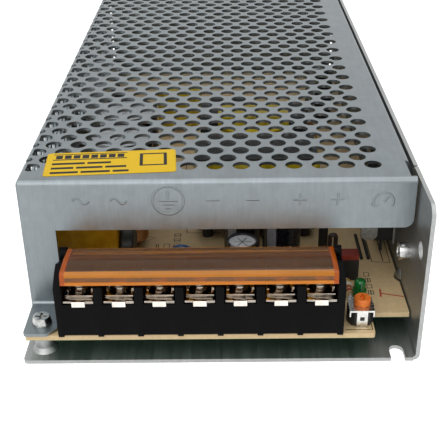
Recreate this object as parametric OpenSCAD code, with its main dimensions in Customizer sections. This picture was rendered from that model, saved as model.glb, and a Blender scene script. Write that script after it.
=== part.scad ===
// Mesh-cased switching power supply with a seven-way barrier terminal block.
// X runs left to right along the terminal end, Y runs from the terminals to the rear, Z is up.
// The origin is the centre of the outline on the bottom face.

/* [Case] */
// Width over the chassis and the cover's left wall
case_w = 97; // [92:1:112]
// Length of the chassis
case_l = 199; // [190:1:230]
// Height to the top of the cover
case_h = 42.8; // [40:0.2:50]
// How far the chassis reaches ahead of the cover's lip
base_front = 14; // [13.8:0.2:20]
// Chassis sheet thickness
chassis_t = 1; // [0.8:0.1:1.5]
// Inside radius of the chassis bend
chassis_bend = 0.6; // [0.3:0.1:1.2]

/* [Cover] */
// Cover sheet thickness
cover_t = 0.8; // [0.6:0.1:1]
// Outside radius of the cover's folds
fold_r = 1.4; // [1.1:0.1:2]
// Height of the front lip
lip_h = 13.2; // [8:0.2:14]
// Radius of the lip's free corner
lip_corner_r = 2.2; // [1:0.2:4]
// Width of the left post and its foot
post_w = 7.9; // [7:0.1:8]
// How far the foot reaches forward
foot_l = 13.4; // [12:0.1:13.6]
// Gap between the cover's right edge and the chassis wall
wall_gap = 0.7; // [0.4:0.1:1]
// Height of the screw flange inside the right wall
flange_h = 9; // [8:0.5:12]
// Slit between the lip and the left wall
corner_slit = 0.3; // [0.2:0.1:0.6]

/* [Perforation] */
// Hole diameter
hole_d = 4.2; // [3:0.1:4.6]
// Distance between holes in a row
hole_pitch = 6.4; // [6:0.1:8]
// Distance between rows
row_pitch = 4.5; // [4.1:0.1:6]
// First row behind the lip
first_row = 8; // [6:0.5:14]
// Plain margin at the rear
rear_margin = 8; // [6:0.5:20]
// Left column from the left face
first_column = 2.6; // [2.4:0.1:4]
// Plain margin at the right
right_margin = 8; // [6:0.5:14]

/* [Circuit board] */
// Board thickness
board_t = 1.4; // [1:0.1:2]
// Height of the posts that the board stands on
post_h = 5.3; // [4.5:0.1:8]
// Gap from the board to the chassis wall and the cover
board_gap = 0.3; // [0.2:0.1:0.5]
// Width of the front right step
step_w = 9.7; // [8:0.1:11]
// Depth of the front right step
step_d = 8.6; // [6:0.1:10]
// Outer diameter of the swaged posts
post_d = 4.6; // [4.2:0.1:6]

/* [Terminal block] */
// Number of terminals
ways = 7; // [3:1:7]
// Distance between terminals
way_pitch = 9.6; // [9:0.1:9.7]
// Thickness of the barriers
barrier_t = 2; // [1.6:0.1:2.2]
// Depth of the block
block_d = 15.6; // [15:0.1:17]
// Height of the clamping floor above the block's foot
floor_h = 8.65; // [7:0.05:10]
// Height of the end walls above the floor
end_h = 8.65; // [8.4:0.05:10]
// Distance from the left face of the case
block_inset = 9.3; // [9:0.1:12]
// Height of the feet under the block
block_foot = 0.6; // [0.4:0.1:1]

/* [Terminal hardware] */
// Thickness of the terminal plates
plate_t = 0.8; // [0.6:0.1:1]
// Width of the terminal plates
plate_w = 7.2; // [6:0.1:7.2]
// Width of the tongue bent over the front edge
tongue_w = 3.2; // [2:0.1:4]
// Thickness of the clamp washers
washer_t = 0.7; // [0.5:0.1:0.8]
// Width of the clamp washers
washer_w = 6.8; // [6:0.1:7]
// Screw shank diameter
screw_d = 3.5; // [3:0.1:3.8]
// Screw head diameter
head_d = 5.8; // [5:0.1:6]
// Screw head height
head_h = 2.1; // [1.8:0.1:2.2]
// Diameter of the lock washer under the head
lock_d = 4.9; // [4.6:0.1:5.4]
// Thickness of the lock washer
lock_t = 0.9; // [0.6:0.1:0.9]
// Distance the clamp lifts when its screw is undone
clamp_lift = 2.4; // [1:0.1:2.5]

/* [Terminal cover] */
// Wall thickness
guard_t = 1; // [0.8:0.1:1.1]
// Depth of the front skirt
skirt_h = 3.1; // [2.8:0.1:4]
// Depth of the level part of the top
guard_flat = 6.5; // [5:0.1:7]
// Diameter of the hinge pins
pivot_d = 1.8; // [1.4:0.1:2]
// Radial clearance of the hinge pins
pivot_gap = 0.08; // [0.05:0.01:0.1]

/* [Adjuster and indicator] */
// Width of the adjuster
trimmer_w = 6; // [5:0.1:6.1]
// Height of the adjuster's body
trimmer_h = 4.1; // [3:0.1:6]
// Diameter of the slotted rotor
rotor_d = 4.1; // [3:0.1:5]
// Height of the slotted rotor
rotor_h = 1.8; // [1.4:0.1:3]
// Diameter of the indicator
led_d = 3; // [2.6:0.1:3.2]
// Height of the indicator above the board
led_h = 5.9; // [5:0.1:8]

/* [Capacitors] */
// Mains capacitor, width, depth and height
mains_cap = [17.4, 8.6, 15.2];
// Bulk capacitor diameter
bulk_d = 18; // [14:0.5:18]
// Bulk capacitor height
bulk_h = 27; // [20:0.5:30]
// Filter capacitor diameter
filter_d = 8; // [6.3:0.1:8.4]
// Filter capacitor height
filter_h = 12.4; // [10:0.1:16]
// Output capacitor diameter
output_d = 10; // [8:0.5:10]
// Output capacitor height
output_h = 20; // [16:0.5:25]
// Bypass capacitor diameter
bypass_d = 8; // [6:0.1:9]

/* [Magnetics] */
// Front choke core, width, depth and height
choke_core_size = [34, 17, 22];
// Width of the tape around the choke
choke_tape_h = 20; // [8:0.5:21]
// Transformer winding diameter
drum_d = 23; // [18:0.5:23]
// Transformer winding height
drum_h = 22; // [14:0.5:24]
// Output inductor outer diameter
ring_d = 25; // [18:0.5:26]
// Output inductor ring section
ring_section = 9; // [6:0.5:10]

/* [Fasteners] */
// Board screw head diameter
board_head_d = 5; // [4.5:0.1:5.6]
// Cover screw head diameter
cover_head_d = 5.2; // [4.5:0.1:6]
// Cover screw head height
cover_head_h = 0.9; // [0.6:0.1:1.2]

/* [Mounting] */
// Spacing of the bottom bushes across the case
mount_x = 50; // [40:1:60]
// Spacing of the bottom bushes along the case
mount_y = 150; // [120:1:160]
// Thread bore of the bottom bushes
mount_bore = 3.3; // [2.5:0.1:3.5]
// Width of the front notch
notch_w = 3.5; // [3:0.1:4.5]
// Depth of the front notch
notch_d = 5; // [4:0.1:7]
// Diameter of the hole in the wall's front end
wall_hole_d = 4.4; // [3:0.1:5]

/* [Hidden] */
$fn = 48;
SMALL = 24;

EPS = 0.01;
// Edges of the case
left_x = -case_w / 2;
wall_in = case_w / 2 - chassis_t;
front_y = -case_l / 2;
rear_y = case_l / 2;
lip_y = front_y + base_front;
wall_h = case_h - cover_t;
cover_right = wall_in - wall_gap;
// Places measured from the left face, the wall's inner face, the lip and the rear face
function left(d) = left_x + d;
function right(d) = wall_in - d;
function back(d) = lip_y + d;
function from_rear(d) = rear_y - d;

// Circuit board
board_z = chassis_t + post_h;
board_top = board_z + board_t;
board_left = left_x + cover_t + board_gap - 0.15;
board_right = wall_in - board_gap - 0.1;
block_front = back(-13.6);
board_front = block_front + 0.6;
board_rear = rear_y - cover_t - chassis_t - 3;
step_x = board_right - step_w;
step_y = board_front + step_d;
board_screw_r = 1.5;
board_hole_r = 1.7;
post_bore = 2.5;
foot_screw_at = [left(4.5), back(-8.6)];
post_places = [foot_screw_at, [right(4), back(62)], [left(5), back(122)],
  [left(5), from_rear(9)], [right(5), from_rear(9)]];

// Upturned tabs on the left edge of the base and the cover screws
tab_w = 12;
tab_h = 9;
tab_places = [back(30), back(92), from_rear(25)];
tab_x = left_x + cover_t + 0.1;
screw_bore = 2.5;
cover_screw_z = 5.4;
flange_front = back(10);
flange_rear = from_rear(9);
flange_screw_z = case_h - flange_h / 2 - 1;
flange_places = [back(16), back(96), from_rear(15)];

// Side nuts and the round hole in the wall
nut_z = 19.8;
nut_places = [back(5.3), from_rear(35)];
nut_d = 4.6;
nut_bore = 3.3;
nut_l = 2.7;
wall_hole_at = [back(-6.9), 27.2];
guide_at = [wall_in + 1.4, back(12.2), board_top + 0.6];
guide_r = 2.6;

// Terminal block
block_x0 = left(block_inset);
end_wall = (barrier_t + 1.5) / 2;
block_w = (ways - 1) * way_pitch + (way_pitch - barrier_t) + 2 * end_wall;
block_x1 = block_x0 + block_w;
block_rear = block_front + block_d;
block_z = board_top + block_foot;
floor_z = block_z + floor_h;
end_z = floor_z + end_h;
plate_top = floor_z + plate_t;
way_w = way_pitch - barrier_t;
function way_x(k) = block_x0 + end_wall + way_w / 2 + k * way_pitch;
screw_y = block_front + 6;
lead_y = block_front + 10.3;
shank_l = 6;
pocket_r = screw_d / 2 + 0.5;
head_z = plate_top + washer_t + 0.05;

// Terminal cover
guard_top = end_z + 0.2;
guard_front = block_front - 0.3;
guard_x0 = block_x0 + end_wall + 0.16;
guard_x1 = block_x1 - end_wall - 0.16;
cheek_t = 0.6;
pivot_y = block_rear - 3.2;
pivot_z = end_z - 1.7;
barrel_r = pivot_d / 2 + 0.2;
ear_r = pivot_d / 2 + 0.6;
barrier_top = guard_top - guard_t - 0.8;

// Adjuster, indicator and the parts beside the block
trimmer_x = block_x1 + 1.7 + trimmer_w / 2;
trimmer_y = back(-7.4);
trimmer_z = board_top + 0.4;
strap_t = 0.45;
strap_z = trimmer_z + trimmer_h;
strap_front = trimmer_y - 3.4;
stem_r = 1;
rotor_x = trimmer_x + 0.35;
led_at = [block_x1 + 5.8, back(1.8)];
resistor_at = [block_x1 + 3.55, back(5.2)];
link_at = [block_x1 + 4.3, back(12.4)];
link_size = [4.8, 3.8, 6.3];
loop_at = [block_x1 + 0.65, back(19)];

// Parts behind the lip
lift = 3.4;
tape_t = 0.4;
choke_at = [left(58.5), back(41)];
drum_at = [left(58.2), back(62)];
drum_z = board_top + 3.3;
yoke_t = 3;
leg_t = 4;
core_d = 12;
// Output rectifier, its pad and its clamp on the right wall
rectifier = [5, 15.8, 20.8];
rectifier_y = back(24);
rectifier_z = board_top + 4.3;
pad_t = 0.3;
clamp_t = 1.2;
clamp_x = right(pad_t + rectifier[0] + clamp_t);
clamp_y = back(20);
clamp_z = rectifier_z + 13;
clamp_screw_y = rectifier_y + rectifier[1] + 4;

// Extrudes a shape drawn in Y and Z along X, and one drawn in X and Z along Y
module along_x(x0, x1) {
  translate([x0, 0, 0]) rotate([90, 0, 90]) linear_extrude(x1 - x0) children();
}
module along_y(y0, y1) {
  translate([0, y1, 0]) rotate([90, 0, 0]) linear_extrude(y1 - y0) children();
}
// Quarter of a bent sheet in the first quadrant
module bend(r, t) {
  intersection() {
    difference() {
      circle(r);
      circle(r - t);
    }
    square(r);
  }
}
// Rectangle with round corners from corner a to corner b
module round_box(a, b, r) {
  translate([a[0] + r, a[1]]) square([b[0] - a[0] - 2 * r, b[1] - a[1]]);
  translate([a[0], a[1] + r]) square([b[0] - a[0], b[1] - a[1] - 2 * r]);
  for (x = [a[0] + r, b[0] - r], y = [a[1] + r, b[1] - r]) translate([x, y]) circle(r);
}
module bar(x0, x1, y0, y1, z0, z1) {
  translate([x0, y0, z0]) cube([x1 - x0, y1 - y0, z1 - z0]);
}

// ---- Case ----
module chassis() {
  wall_x = case_w / 2 - chassis_t;
  bend_r = chassis_bend + chassis_t;
  inner_left = tab_x;
  base_rear = rear_y - cover_t - 0.1;
  color("gainsboro") {
    difference() {
      union() {
        // Base, with its front corner rounded and its left edge set inside the cover's wall
        linear_extrude(chassis_t) difference() {
          union() {
            translate([left_x + 1.2, front_y]) square([case_w - 1.2 - bend_r, base_front]);
            translate([left_x, front_y + 1.2]) square([3, base_front - 1.2 - 0.4]);
            translate([left_x + 1.2, front_y + 1.2]) circle(1.2);
            translate([inner_left, lip_y - 0.5])
              square([wall_x - chassis_bend - inner_left, base_rear - lip_y + 0.5]);
          }
          // Open mounting notch
          translate([right(4.25), front_y - 1]) {
            translate([-notch_w / 2, 0]) square([notch_w, notch_d + 1 - notch_w / 2]);
            translate([0, notch_d + 1 - notch_w / 2]) circle(notch_w / 2);
          }
        }
        // Bend and right wall
        along_y(front_y + 0.4, base_rear) translate([wall_x - chassis_bend, bend_r])
          mirror([0, 1]) bend(bend_r, chassis_t);
        along_x(wall_x, wall_x + chassis_t) difference() {
          round_wall(bend_r, base_rear);
          translate([back(8), wall_h - 0.8]) square([0.9, 1]);
        }
        // Upturned tabs and rear flange
        for (y = tab_places) bar(tab_x, tab_x + chassis_t, y - tab_w / 2, y + tab_w / 2, 0, tab_h);
        bar(left(10), right(10), base_rear - chassis_t, base_rear, 0, tab_h);
        // Swaged posts for the board and bushes for mounting
        for (p = post_places) translate([p[0], p[1], chassis_t - EPS]) {
          cylinder(d = post_d, h = post_h + EPS);
          cylinder(d1 = post_d + 1.8, d2 = post_d, h = 1.2);
        }
        for (x = [-1, 1], y = [-1, 1]) translate([x * mount_x / 2, y * mount_y / 2, chassis_t - EPS])
          cylinder(d = mount_bore + 2.4, h = 1.8);
        // Dimple that guides the board's edge
        intersection() {
          translate(guide_at) sphere(guide_r);
          bar(wall_x - 4, wall_x + EPS, guide_at[1] - 4, guide_at[1] + 4, 2, 20);
        }
      }
      for (p = post_places) translate([p[0], p[1], -1]) cylinder(d = post_bore, h = 20);
      for (x = [-1, 1], y = [-1, 1]) translate([x * mount_x / 2, y * mount_y / 2, -1])
        cylinder(d = mount_bore, h = 10);
      translate(guide_at) sphere(guide_r - 0.7);
      for (y = tab_places) translate([left_x, y, cover_screw_z]) rotate([0, 90, 0])
        cylinder(d = screw_bore, h = 5);
      // Holes in the wall
      translate([wall_x - 1, wall_hole_at[0], wall_hole_at[1]]) rotate([0, 90, 0])
        cylinder(d = wall_hole_d, h = 5);
      for (y = nut_places) translate([wall_x - 1, y, nut_z]) rotate([0, 90, 0])
        cylinder(d = nut_d, h = 5);
      for (y = flange_places) translate([wall_x - 1, y, flange_screw_z]) rotate([0, 90, 0])
        cylinder(d = 3.2, h = 5);
      translate([wall_x - 1, clamp_screw_y, clamp_z]) rotate([0, 90, 0])
        cylinder(d = screw_bore, h = 5);
    }
  }
}
// Outline of the right wall with a round top front corner
module round_wall(z0, y1) {
  r = 3;
  y0 = front_y + 0.4;
  translate([y0, z0]) square([y1 - y0, wall_h - r - z0]);
  translate([y0 + r, z0]) square([y1 - y0 - r, wall_h - z0]);
  translate([y0 + r, wall_h - r]) circle(r);
}

module side_nuts() {
  color("silver") for (y = nut_places) translate([wall_in - nut_l, y, nut_z]) rotate([0, 90, 0])
    difference() {
      cylinder(d = nut_d, h = nut_l + chassis_t, $fn = SMALL);
      translate([0, 0, -1]) cylinder(d = nut_bore, h = nut_l + chassis_t + 2, $fn = SMALL);
    }
}

// One folded sheet: perforated top and left wall, rear wall, front lip, post and foot
module cover() {
  columns = floor((cover_right - left_x - first_column - right_margin) / hole_pitch) + 1;
  rows = floor((rear_y - lip_y - first_row - rear_margin) / row_pitch) + 1;
  side_columns = floor((case_h - 14 - hole_pitch / 2) / hole_pitch);
  side_first = hole_pitch - first_column;
  lip_z = case_h - lip_h;
  lip_left = left_x + 0.6;
  color("lightsteelblue") difference() {
    union() {
      // Top
      translate([0, 0, case_h - cover_t]) linear_extrude(cover_t) difference() {
        translate([left_x + fold_r, lip_y + fold_r])
          square([cover_right - left_x - 2 * fold_r, rear_y - lip_y - 2 * fold_r]);
        for (i = [0 : rows - 1], k = [0 : columns - 1 - i % 2])
          translate([left(first_column + (k + (i % 2) / 2) * hole_pitch), back(first_row + i * row_pitch)])
            circle(d = hole_d, $fn = SMALL);
      }
      // Left wall
      along_x(left_x, left_x + cover_t) difference() {
        translate([lip_y + cover_t + corner_slit, 0.4])
          square([rear_y - fold_r - lip_y - cover_t - corner_slit, case_h - fold_r - 0.4]);
        for (i = [0 : rows - 1], k = [0 : side_columns - 1])
          translate([back(first_row + i * row_pitch),
              case_h - side_first - (k + (i % 2) / 2) * hole_pitch]) circle(d = hole_d, $fn = SMALL);
        for (y = tab_places) translate([y, cover_screw_z]) circle(d = 3.2, $fn = SMALL);
      }
      along_y(lip_y + fold_r, rear_y - fold_r) translate([left_x + fold_r, case_h - fold_r])
        mirror([1, 0]) bend(fold_r, cover_t);
      // Front lip with its fold
      along_x(lip_left, cover_right) translate([lip_y + fold_r, case_h - fold_r])
        mirror([1, 0]) bend(fold_r, cover_t);
      along_y(lip_y, lip_y + cover_t) {
        translate([lip_left, lip_z + lip_corner_r])
          square([cover_right - lip_left, lip_h - lip_corner_r - fold_r]);
        translate([lip_left, lip_z]) square([cover_right - lip_left - lip_corner_r, lip_corner_r]);
        translate([cover_right - lip_corner_r, lip_z + lip_corner_r]) circle(lip_corner_r);
      }
      // Post and foot
      post(lip_left, lip_z);
      // Rear wall
      along_x(left_x + fold_r, cover_right) {
        translate([rear_y - fold_r, case_h - fold_r]) bend(fold_r, cover_t);
        translate([rear_y - cover_t, 0.4]) square([cover_t, case_h - fold_r - 0.4]);
      }
      // Flange inside the right wall
      along_y(flange_front, flange_rear) {
        translate([cover_right - fold_r, case_h - fold_r]) bend(fold_r, cover_t);
        translate([cover_right - cover_t, case_h - flange_h])
          square([cover_t, flange_h - fold_r]);
      }
    }
    // Holes cut by the left fold
    for (i = [1 : 2 : rows - 1])
      translate([left_x, back(first_row + i * row_pitch), case_h]) rotate([0, 135, 0])
        cylinder(d = hole_d * 0.7, h = 6, center = true, $fn = SMALL);
    for (y = flange_places) translate([cover_right - 2, y, flange_screw_z]) rotate([0, 90, 0])
      cylinder(d = screw_bore, h = 5, $fn = SMALL);
    translate([foot_screw_at[0], foot_screw_at[1], board_top - 1]) cylinder(r = board_hole_r, h = 3);
  }
}
// Left post, its bend and the foot that is screwed down on the board
module post(x0, z1) {
  bend_r = cover_t + 0.8;
  foot_z = board_top;
  chamfer = 2.2;
  bar(x0, x0 + post_w, lip_y, lip_y + cover_t, foot_z + bend_r, z1 + EPS);
  along_x(x0, x0 + post_w) translate([lip_y + cover_t - bend_r, foot_z + bend_r])
    mirror([0, 1]) bend(bend_r, cover_t);
  translate([0, 0, foot_z]) linear_extrude(cover_t) difference() {
    round_box([x0, lip_y - foot_l], [x0 + post_w, lip_y + cover_t - bend_r + 1], 1);
    translate([x0 - 1, lip_y + cover_t - bend_r]) square([post_w + 2, 3]);
    translate([x0 + post_w, lip_y - foot_l]) rotate(45) square(chamfer * sqrt(2), center = true);
  }
}

module cover_screws() {
  color("silver") {
    for (y = tab_places) translate([left_x, y, cover_screw_z]) rotate([0, -90, 0])
      machine_screw(cover_head_d, cover_head_h, screw_bore - 0.1, cover_t + chassis_t + 0.3);
    for (y = flange_places) translate([case_w / 2, y, flange_screw_z]) rotate([0, 90, 0])
      machine_screw(cover_head_d, cover_head_h, screw_bore - 0.1, 4);
  }
}
// Screw with its head above the XY plane and its shank below
module machine_screw(head_d, head_h, shank_d, shank_l) {
  difference() {
    union() {
      cylinder(d1 = head_d, d2 = head_d * 0.8, h = head_h, $fn = SMALL);
      translate([0, 0, -shank_l]) cylinder(d = shank_d, h = shank_l + EPS, $fn = SMALL);
    }
    for (a = [0, 90]) rotate(a) translate([-head_d * 0.28, -0.3, head_h * 0.45])
      cube([head_d * 0.56, 0.6, head_h]);
  }
}

// ---- Board ----
module insulation_sheet() {
  z = chassis_t;
  color("black", 0.6) translate([0, 0, z]) linear_extrude(0.25) difference() {
    translate([left(6), back(8)]) square([case_w - 14, board_rear - back(8) - 6]);
    for (p = post_places) translate(p) circle(d = post_d + 3);
    for (x = [-1, 1], y = [-1, 1]) translate([x * mount_x / 2, y * mount_y / 2]) circle(d = mount_bore + 4);
  }
}

module circuit_board() {
  notch = tab_x + chassis_t + 0.3 - board_left;
  color("tan") translate([0, 0, board_z]) linear_extrude(board_t) difference() {
    union() {
      round_box([board_left, board_front], [step_x, board_rear], 0.6);
      translate([step_x - 2, step_y]) square([board_right - step_x + 2, board_rear - step_y]);
    }
    for (y = tab_places) translate([board_left - 1, y - tab_w / 2 - 0.5]) square([notch + 1, tab_w + 1]);
    translate([guide_at[0], guide_at[1]]) circle(guide_r + 0.3);
    for (p = post_places) translate(p) circle(board_hole_r);
    for (k = [0 : ways - 1]) translate([way_x(k), lead_y + 0.4]) circle(1, $fn = SMALL);
  }
}

module board_screws() {
  color("silver") for (i = [1 : len(post_places) - 1])
    translate([post_places[i][0], post_places[i][1], board_top])
      machine_screw(board_head_d, 2, post_bore - 0.1, board_t + 3.5);
}

module foot_screw() {
  color("silver") translate([foot_screw_at[0], foot_screw_at[1], board_top + cover_t])
    machine_screw(board_head_d, 2, post_bore - 0.1, cover_t + board_t + 3.5);
}

// ---- Terminals ----
module terminal_block() {
  front_cut = 1.1;
  shoulder = guard_top - skirt_h - 0.4;
  foot_w = 1.4;
  mid0 = block_x0 + end_wall;
  mid1 = block_x1 - end_wall;
  color([0.06, 0.06, 0.07]) difference() {
    union() {
      // Body with end walls that dip behind their front hump
      along_x(block_x0, block_x1) polygon([[block_front, block_z], [block_front, end_z - 4],
        [block_front + 3.5, end_z - 1.7], [block_front + 6, end_z - 0.8], [block_front + 6.6, end_z - 1.2],
        [pivot_y - 2.8, end_z - 2.4], [block_rear, end_z - 2.4], [block_rear, block_z]]);
      for (x = [block_x0, block_x1 - end_wall]) translate([x, pivot_y, pivot_z]) rotate([0, 90, 0])
        cylinder(r = ear_r, h = end_wall);
      for (k = [0 : ways]) {
        x = block_x0 + end_wall - barrier_t / 2 + k * way_pitch;
        bar(x - foot_w / 2, x + foot_w / 2, block_front, block_rear, board_top, block_z + EPS);
      }
    }
    // Wire compartments, open to the front and the top
    for (k = [0 : ways - 1]) {
      bar(way_x(k) - way_w / 2, way_x(k) + way_w / 2, block_front - 1, block_rear - 3.4, floor_z, end_z + 1);
      bar(way_x(k) - tongue_w / 2 - 0.15, way_x(k) + tongue_w / 2 + 0.15, block_front - 1,
        block_front + plate_t + 0.05, floor_z - 0.8, floor_z + 1);
      translate([way_x(k), screw_y, floor_z - shank_l - 1]) cylinder(r = pocket_r, h = shank_l + 2);
      bar(way_x(k) - 0.7, way_x(k) + 0.7, lead_y - 0.2, lead_y + 1, board_top - 1, floor_z + 1);
    }
    // Room for the terminal cover over the barriers and the rear wall
    bar(mid0, mid1, block_front - 1, block_rear + 1, barrier_top, end_z + 1);
    bar(mid0, mid1, block_front - 1, block_front + front_cut, shoulder, end_z + 1);
    bar(mid0, mid1, pivot_y - 2.8, block_rear + 1, pivot_z - barrel_r - 0.6, end_z + 1);
    // Pivot holes
    translate([block_x0 + 0.6, pivot_y, pivot_z]) rotate([0, 90, 0])
      cylinder(r = pivot_d / 2 + pivot_gap, h = block_w - 1.2);
  }
}

module terminal_plates() {
  color("silver") for (k = [0 : ways - 1]) {
    x = way_x(k);
    difference() {
      union() {
        bar(x - plate_w / 2, x + plate_w / 2, block_front + 0.3, block_rear - 3.6, floor_z, plate_top);
        bar(x - tongue_w / 2, x + tongue_w / 2, block_front, block_front + plate_t, floor_z - 0.7, plate_top);
        bar(x - 0.5, x + 0.5, lead_y, lead_y + 0.8, board_z - 1.2, floor_z + EPS);
      }
      translate([x, screw_y, floor_z - 1]) cylinder(d = screw_d + 0.1, h = 3);
    }
  }
}

// Square clamp washer with its side edges turned up
module clamp_washer(k) {
  x = way_x(k);
  depth = 6.6;
  color("silver") difference() {
    union() {
      bar(x - washer_w / 2, x + washer_w / 2, screw_y - depth / 2 - 0.9, screw_y + depth / 2,
        plate_top, plate_top + washer_t);
      for (s = [-1, 1]) bar(x + s * (washer_w - washer_t) / 2 - washer_t / 2,
        x + s * (washer_w - washer_t) / 2 + washer_t / 2, screw_y - depth / 2 + 1, screw_y + depth / 2,
        plate_top, plate_top + washer_t + (s > 0 ? 0.7 : 0.3));
    }
    translate([x, screw_y, plate_top - 1]) cylinder(d = screw_d + 0.1, h = 4);
    // Room for the screw head between the turned-up edges
    translate([x, screw_y, plate_top + washer_t]) cylinder(d = head_d + 0.4, h = 3);
  }
}

// Pan-head screw with a split lock washer under its head
module terminal_screw(k) {
  under = 0.7;
  over = 0.5;
  color("gainsboro") translate([way_x(k), screw_y, head_z]) difference() {
    union() {
      cylinder(d = lock_d, h = lock_t + EPS);
      translate([0, 0, lock_t]) cylinder(d1 = head_d - 2 * under, d2 = head_d, h = under);
      translate([0, 0, lock_t + under]) cylinder(d = head_d, h = head_h - under - over);
      translate([0, 0, lock_t + head_h - over]) cylinder(d1 = head_d, d2 = head_d * 0.76, h = over);
      translate([0, 0, -shank_l]) cylinder(d = screw_d, h = shank_l + EPS);
    }
    // Split in the lock washer, and the cross recess
    rotate(-65) translate([screw_d / 2 + 0.1, -0.2, -EPS]) cube([2, 0.4, lock_t]);
    for (a = [0, 90]) rotate(a) translate([-head_d * 0.3, -0.45, lock_t + head_h - 1.2])
      cube([head_d * 0.6, 0.9, 2]);
  }
}

// Transparent guard over the screws, hinged at its rear edge
module terminal_cover() {
  front = guard_front;
  top = guard_top;
  t = guard_t;
  flat_y = front + guard_flat;
  rear_top = pivot_z + barrel_r;
  cheek_z = barrier_top + 0.1;
  color("darkorange", 0.75) {
    difference() {
      along_x(guard_x0, guard_x1) polygon([[front, top - skirt_h], [front, top - 1.1],
        [front + 0.35, top - 0.35], [front + 1.1, top], [flat_y, top], [pivot_y, rear_top],
        [pivot_y, pivot_z - 0.2], [front + 2.6, cheek_z], [front + 2.4, top - skirt_h]]);
      along_x(guard_x0 + cheek_t, guard_x1 - cheek_t) polygon([[front + t, top - skirt_h - 1],
        [front + t, top - t], [flat_y, top - t], [pivot_y - barrel_r, rear_top - t],
        [pivot_y - barrel_r, pivot_z - 3], [front + t, pivot_z - 6]]);
    }
    along_x(guard_x0, guard_x1) translate([front - 0.3, top - skirt_h]) square([0.3 + EPS, 0.7]);
    translate([guard_x0, pivot_y, pivot_z]) rotate([0, 90, 0]) cylinder(r = barrel_r, h = guard_x1 - guard_x0);
    translate([guard_x0 - 0.9, pivot_y, pivot_z]) rotate([0, 90, 0])
      cylinder(d = pivot_d, h = guard_x1 - guard_x0 + 1.8);
  }
}

// ---- Adjuster and indicator ----
module trimmer_body() {
  depth = 5.9;
  color([0.1, 0.1, 0.1]) difference() {
    union() {
      // Round body with a flat front for the strap's leg
      translate([0, 0, trimmer_z]) linear_extrude(trimmer_h) intersection() {
        translate([trimmer_x, trimmer_y]) circle(trimmer_w / 2 + 0.3);
        translate([trimmer_x - trimmer_w, trimmer_y - depth / 2]) square([2 * trimmer_w, depth]);
      }
      for (sx = [-1, 1], sy = [-1, 1])
        translate([trimmer_x + sx * (trimmer_w / 2 - 1), trimmer_y + sy * (depth / 2 - 1.1), board_top])
          cylinder(r = 0.5, h = trimmer_z - board_top + EPS, $fn = SMALL);
    }
    translate([rotor_x, trimmer_y, trimmer_z + 0.6]) cylinder(r = stem_r + 0.05, h = trimmer_h);
  }
}
// Bright strap over the body with a windowed leg in front
module trimmer_strap() {
  x0 = trimmer_x - trimmer_w / 2;
  leg_w = 2.6;
  leg_x = trimmer_x + 0.1;
  window = 1.1;
  lips = 1.3;
  color("silver") {
    difference() {
      bar(x0, x0 + trimmer_w, strap_front, trimmer_y + 2.8, strap_z, strap_z + strap_t);
      translate([rotor_x, trimmer_y, strap_z - 1]) cylinder(r = stem_r + 0.3, h = 3);
    }
    for (x = [x0, x0 + trimmer_w - 0.3])
      bar(x, x + 0.3, strap_front, strap_front + 1, strap_z - lips, strap_z + EPS);
    along_y(strap_front, strap_front + strap_t - 0.05) difference() {
      translate([leg_x - leg_w / 2, board_top]) square([leg_w, strap_z - board_top + EPS]);
      translate([leg_x - window / 2, board_top + 2.05]) square(window);
    }
  }
}
// Slotted knob with a round sink in its middle
module trimmer_rotor() {
  z = strap_z + strap_t + 0.05;
  slot = 0.6;
  color("darkorange") translate([rotor_x, trimmer_y, 0]) difference() {
    union() {
      translate([0, 0, z]) cylinder(d = rotor_d, h = rotor_h - 0.3);
      translate([0, 0, z + rotor_h - 0.3]) cylinder(d1 = rotor_d, d2 = rotor_d - 0.5, h = 0.3);
      translate([0, 0, trimmer_z + 0.8]) cylinder(r = stem_r, h = z - trimmer_z);
    }
    translate([-slot / 2, -rotor_d * 0.33, z + rotor_h - 0.8]) cube([slot, rotor_d * 0.66, 2]);
    translate([0, 0, z + rotor_h - 1]) cylinder(r = 0.65, h = 2, $fn = SMALL);
  }
}

module indicator_led() {
  seat = 2.3;
  shoulder = 0.9;
  r = led_d / 2;
  color("green") translate([led_at[0], led_at[1], board_top]) {
    translate([0, 0, seat]) cylinder(d = led_d + 0.6, h = 0.8, $fn = SMALL);
    translate([0, 0, seat]) cylinder(d = led_d, h = led_h - seat - shoulder);
    rotate_extrude() {
      translate([0, seat + 1]) square([r - shoulder, led_h - seat - 1]);
      intersection() {
        translate([r - shoulder, led_h - shoulder]) circle(shoulder);
        translate([0, seat + 1]) square([r, led_h]);
      }
    }
    for (s = [-1, 1]) translate([s * 1.27 - 0.25, -0.25, 0]) cube([0.5, 0.5, seat + EPS]);
  }
}
// Small axial resistor lying front to back
module led_resistor() {
  r = 1.05;
  body = 6;
  color("tan") translate([resistor_at[0], resistor_at[1], board_top + r]) {
    rotate([90, 0, 0]) {
      cylinder(r = r * 0.85, h = body, center = true, $fn = SMALL);
      for (s = [-1, 1]) translate([0, 0, s * (body / 2 - 0.8)])
        cylinder(r = r, h = 1.6, center = true, $fn = SMALL);
      cylinder(r = 0.3, h = body + 3, center = true, $fn = SMALL);
    }
    for (s = [-1, 1]) translate([0, s * (body / 2 + 1.3), -r]) cylinder(r = 0.3, h = r + 0.3, $fn = SMALL);
  }
}

module link_header() {
  w = link_size[0] / 2;
  d = link_size[1] / 2;
  color([0.08, 0.08, 0.08]) bar(link_at[0] - w, link_at[0] + w, link_at[1] - d, link_at[1] + d,
    board_top, board_top + link_size[2]);
}
module link_cap() {
  w = link_size[0] / 2;
  d = link_size[1] / 2;
  color("darkred") translate([link_at[0], link_at[1], board_top + link_size[2]])
    linear_extrude(1.25) round_box([-w, -d], [w, d], 0.4, $fn = SMALL);
}
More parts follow.
